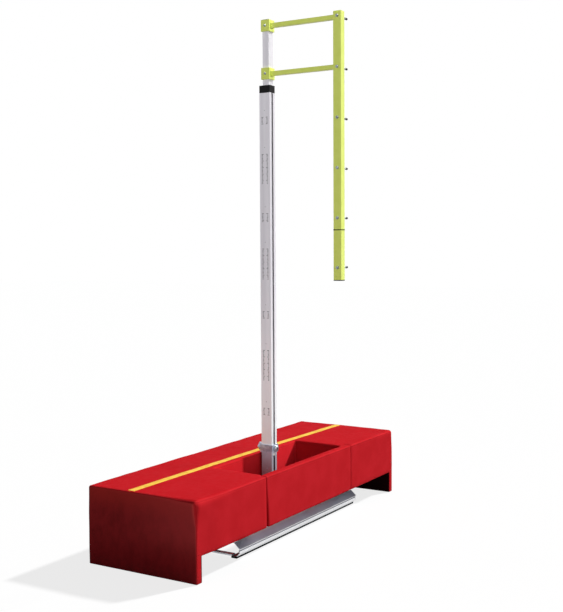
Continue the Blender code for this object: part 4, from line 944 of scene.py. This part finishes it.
def add_beads():
    """Beads where the arms meet the collars and the bar, and round the mast's foot."""
    for name in ("upper", "lower"):
        low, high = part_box(f"{name}_arm")
        for end, x in (("collar", low.x + ARM_BEAD_INSET), ("bar", high.x - ARM_BEAD_INSET)):
            corners = [Vector((x, y, z)) for y, z in (
                (low.y, low.z), (high.y, low.z), (high.y, high.z), (low.y, high.z)
            )]
            add_bead(f"{name}_arm_{end}_bead", corners, "raising_mast", "yellow_paint")
    low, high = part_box("outer_mast")
    corners = [Vector((x, y, low.z + FOOT_BEAD_RISE)) for x, y in (
        (low.x, low.y), (high.x, low.y), (high.x, high.y), (low.x, high.y)
    )]
    add_bead("mast_foot_bead", corners, "carriage", "black_steel")


add_joint_band()
add_scale()
add_beads()


# Stage and light

# The floor's size, how far below zero it lies, the share of its shaded surface in what is seen of it and the
# grey that it gives to bounced light. Then the level of the soft light all around.
FLOOR_SIZE = 80
FLOOR_SINK = 0.0005
FLOOR_SHADE = 0.20
FLOOR_BOUNCE = 0.2
WORLD_LEVEL = 0.11
# Ways towards the lamps, their strengths, and their widths in degrees.
KEY_WAY, KEY_LEVEL, KEY_WIDTH = (0.297, 0.681, 0.669), 4.1, 4
SIDE_WAY, SIDE_LEVEL, SIDE_WIDTH = (0.97, 0.0, 0.24), 1.25, 50
FRONT_WAY, FRONT_LEVEL, FRONT_WIDTH = (0.15, -0.98, 0.0), 1.25, 30
SLOT_KEY_LEVEL, SLOT_KEY_DISTANCE = 7.0, 12
INNER_KEY_LEVEL, INNER_KEY_DISTANCE, INNER_KEY_HEIGHT = 3.4, 14, 2.2
SPOT_RADIUS = 0.25
SPOT_CONE = 20
SUN_DISTANCE = 8


def seen_directly(tree):
    """An output that is 1 for what the camera, a reflection or clear material sees, and 0 for the rest."""
    path = tree.nodes.new("ShaderNodeLightPath")
    seen = path.outputs["Is Camera Ray"]
    for kind in ("Is Glossy Ray", "Is Transmission Ray"):
        either = tree.nodes.new("ShaderNodeMath")
        either.operation = "MAXIMUM"
        tree.links.new(seen, either.inputs[0])
        tree.links.new(path.outputs[kind], either.inputs[1])
        seen = either.outputs[0]
    return seen


def chosen(tree, factor, first, second):
    """A shader that is the first where the factor is 0 and the second where it is 1."""
    mix = tree.nodes.new("ShaderNodeMixShader")
    if isinstance(factor, float):
        mix.inputs[0].default_value = factor
    else:
        tree.links.new(factor, mix.inputs[0])
    tree.links.new(first.outputs[0], mix.inputs[1])
    tree.links.new(second.outputs[0], mix.inputs[2])
    return mix


def add_floor():
    """A white floor that takes the object's shadow and gives it little light back."""
    bpy.ops.mesh.primitive_plane_add(size=FLOOR_SIZE, location=(0, 0, -FLOOR_SINK))
    floor = bpy.context.object
    floor.name = "floor"
    material = bpy.data.materials.new("floor")
    material.use_nodes = True
    tree = material.node_tree
    tree.nodes.clear()
    out, shown, lit, plain = (
        tree.nodes.new("ShaderNode" + kind)
        for kind in ("OutputMaterial", "Emission", "BsdfDiffuse", "BsdfDiffuse")
    )
    shown.inputs["Strength"].default_value = 1.0
    lit.inputs["Color"].default_value = (1, 1, 1, 1)
    plain.inputs["Color"].default_value = (FLOOR_BOUNCE, FLOOR_BOUNCE, FLOOR_BOUNCE, 1)
    seen = chosen(tree, FLOOR_SHADE, shown, lit)
    tree.links.new(chosen(tree, seen_directly(tree), plain, seen).outputs[0], out.inputs[0])
    floor.data.materials.append(material)
    return floor


def add_world():
    """White for what is seen directly, and a soft grey light for the rest."""
    world = bpy.data.worlds.new("studio")
    bpy.context.scene.world = world
    world.use_nodes = True
    tree = world.node_tree
    tree.nodes.clear()
    out, seen, soft = (
        tree.nodes.new("ShaderNode" + kind) for kind in ("OutputWorld", "Background", "Background")
    )
    for background, level in ((seen, 1.0), (soft, WORLD_LEVEL)):
        background.inputs["Color"].default_value = (1, 1, 1, 1)
        background.inputs["Strength"].default_value = level
    tree.links.new(chosen(tree, seen_directly(tree), soft, seen).outputs[0], out.inputs[0])


def add_sun(name, towards, strength, angle):
    """A sun whose light comes from a direction."""
    data = bpy.data.lights.new(name, "SUN")
    data.energy = strength
    data.angle = math.radians(angle)
    sun = bpy.data.objects.new(name, data)
    sun.rotation_euler = Vector(towards).to_track_quat("Z", "Y").to_euler()
    sun.location = Vector(towards).normalized() * SUN_DISTANCE
    bpy.context.scene.collection.objects.link(sun)
    return sun


def add_spot(name, target, towards, strength, distance):
    """A spot lamp that lights a place from a direction as strongly as a sun of that strength would."""
    data = bpy.data.lights.new(name, "SPOT")
    data.energy = strength * 4 * math.pi * distance ** 2
    data.shadow_soft_size = SPOT_RADIUS
    data.spot_size = math.radians(SPOT_CONE)
    spot = bpy.data.objects.new(name, data)
    spot.rotation_euler = Vector(towards).to_track_quat("Z", "Y").to_euler()
    spot.location = target + Vector(towards).normalized() * distance
    bpy.context.scene.collection.objects.link(spot)
    return spot


def group(name, members, state):
    """A collection for light linking, whose members are all taken in or all left out."""
    found = bpy.data.collections.new(name)
    for member in members:
        found.objects.link(member)
    for item in found.collection_objects:
        item.light_linking.link_state = state
    return found


def light_stage():
    """The floor, the white surroundings and the lamps.

    A key comes from behind on the bar's side, with a soft fill on that side and another one from the front
    for the upright pieces alone. The photograph shows the pad's shadow and none of the mast's, except inside
    the pad's slot, so the key leaves out the upright pieces' shadows. Two spots from the key's own direction
    take its place on the slot's lining and on the inner mast, with every shadow.
    """
    floor = add_floor()
    add_world()
    upright = [
        node for name, node in frame["nodes"].items()
        if node["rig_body"] in ("raising_mast", "clamp_knob") or name in ("outer_mast", "mast_bushing")
    ]
    lining = [bpy.data.objects["slot_lining"]]
    inside = [frame["nodes"]["inner_mast"]]
    key = add_sun("key", KEY_WAY, KEY_LEVEL, KEY_WIDTH)
    key.light_linking.blocker_collection = group("key_shadows", upright, "EXCLUDE")
    key.light_linking.receiver_collection = group("key_lit", lining + inside, "EXCLUDE")
    slot_middle = Vector((MAST.x, MAST.y, PAD_HEIGHT))
    inner = add_spot("slot_key", slot_middle, KEY_WAY, SLOT_KEY_LEVEL, SLOT_KEY_DISTANCE)
    inner.light_linking.receiver_collection = group("slot_lit", lining, "INCLUDE")
    mast_middle = Vector((MAST.x, MAST.y, INNER_KEY_HEIGHT))
    column = add_spot("inner_mast_key", mast_middle, KEY_WAY, INNER_KEY_LEVEL, INNER_KEY_DISTANCE)
    column.light_linking.receiver_collection = group("inner_mast_lit", inside, "INCLUDE")
    side = add_sun("side_fill", SIDE_WAY, SIDE_LEVEL, SIDE_WIDTH)
    side.light_linking.receiver_collection = group("side_lit", [floor], "EXCLUDE")
    front = add_sun("head_fill", FRONT_WAY, FRONT_LEVEL, FRONT_WIDTH)
    front.light_linking.receiver_collection = group("head_lit", upright, "INCLUDE")


light_stage()

bpy.context.scene.view_settings.view_transform = "Standard"
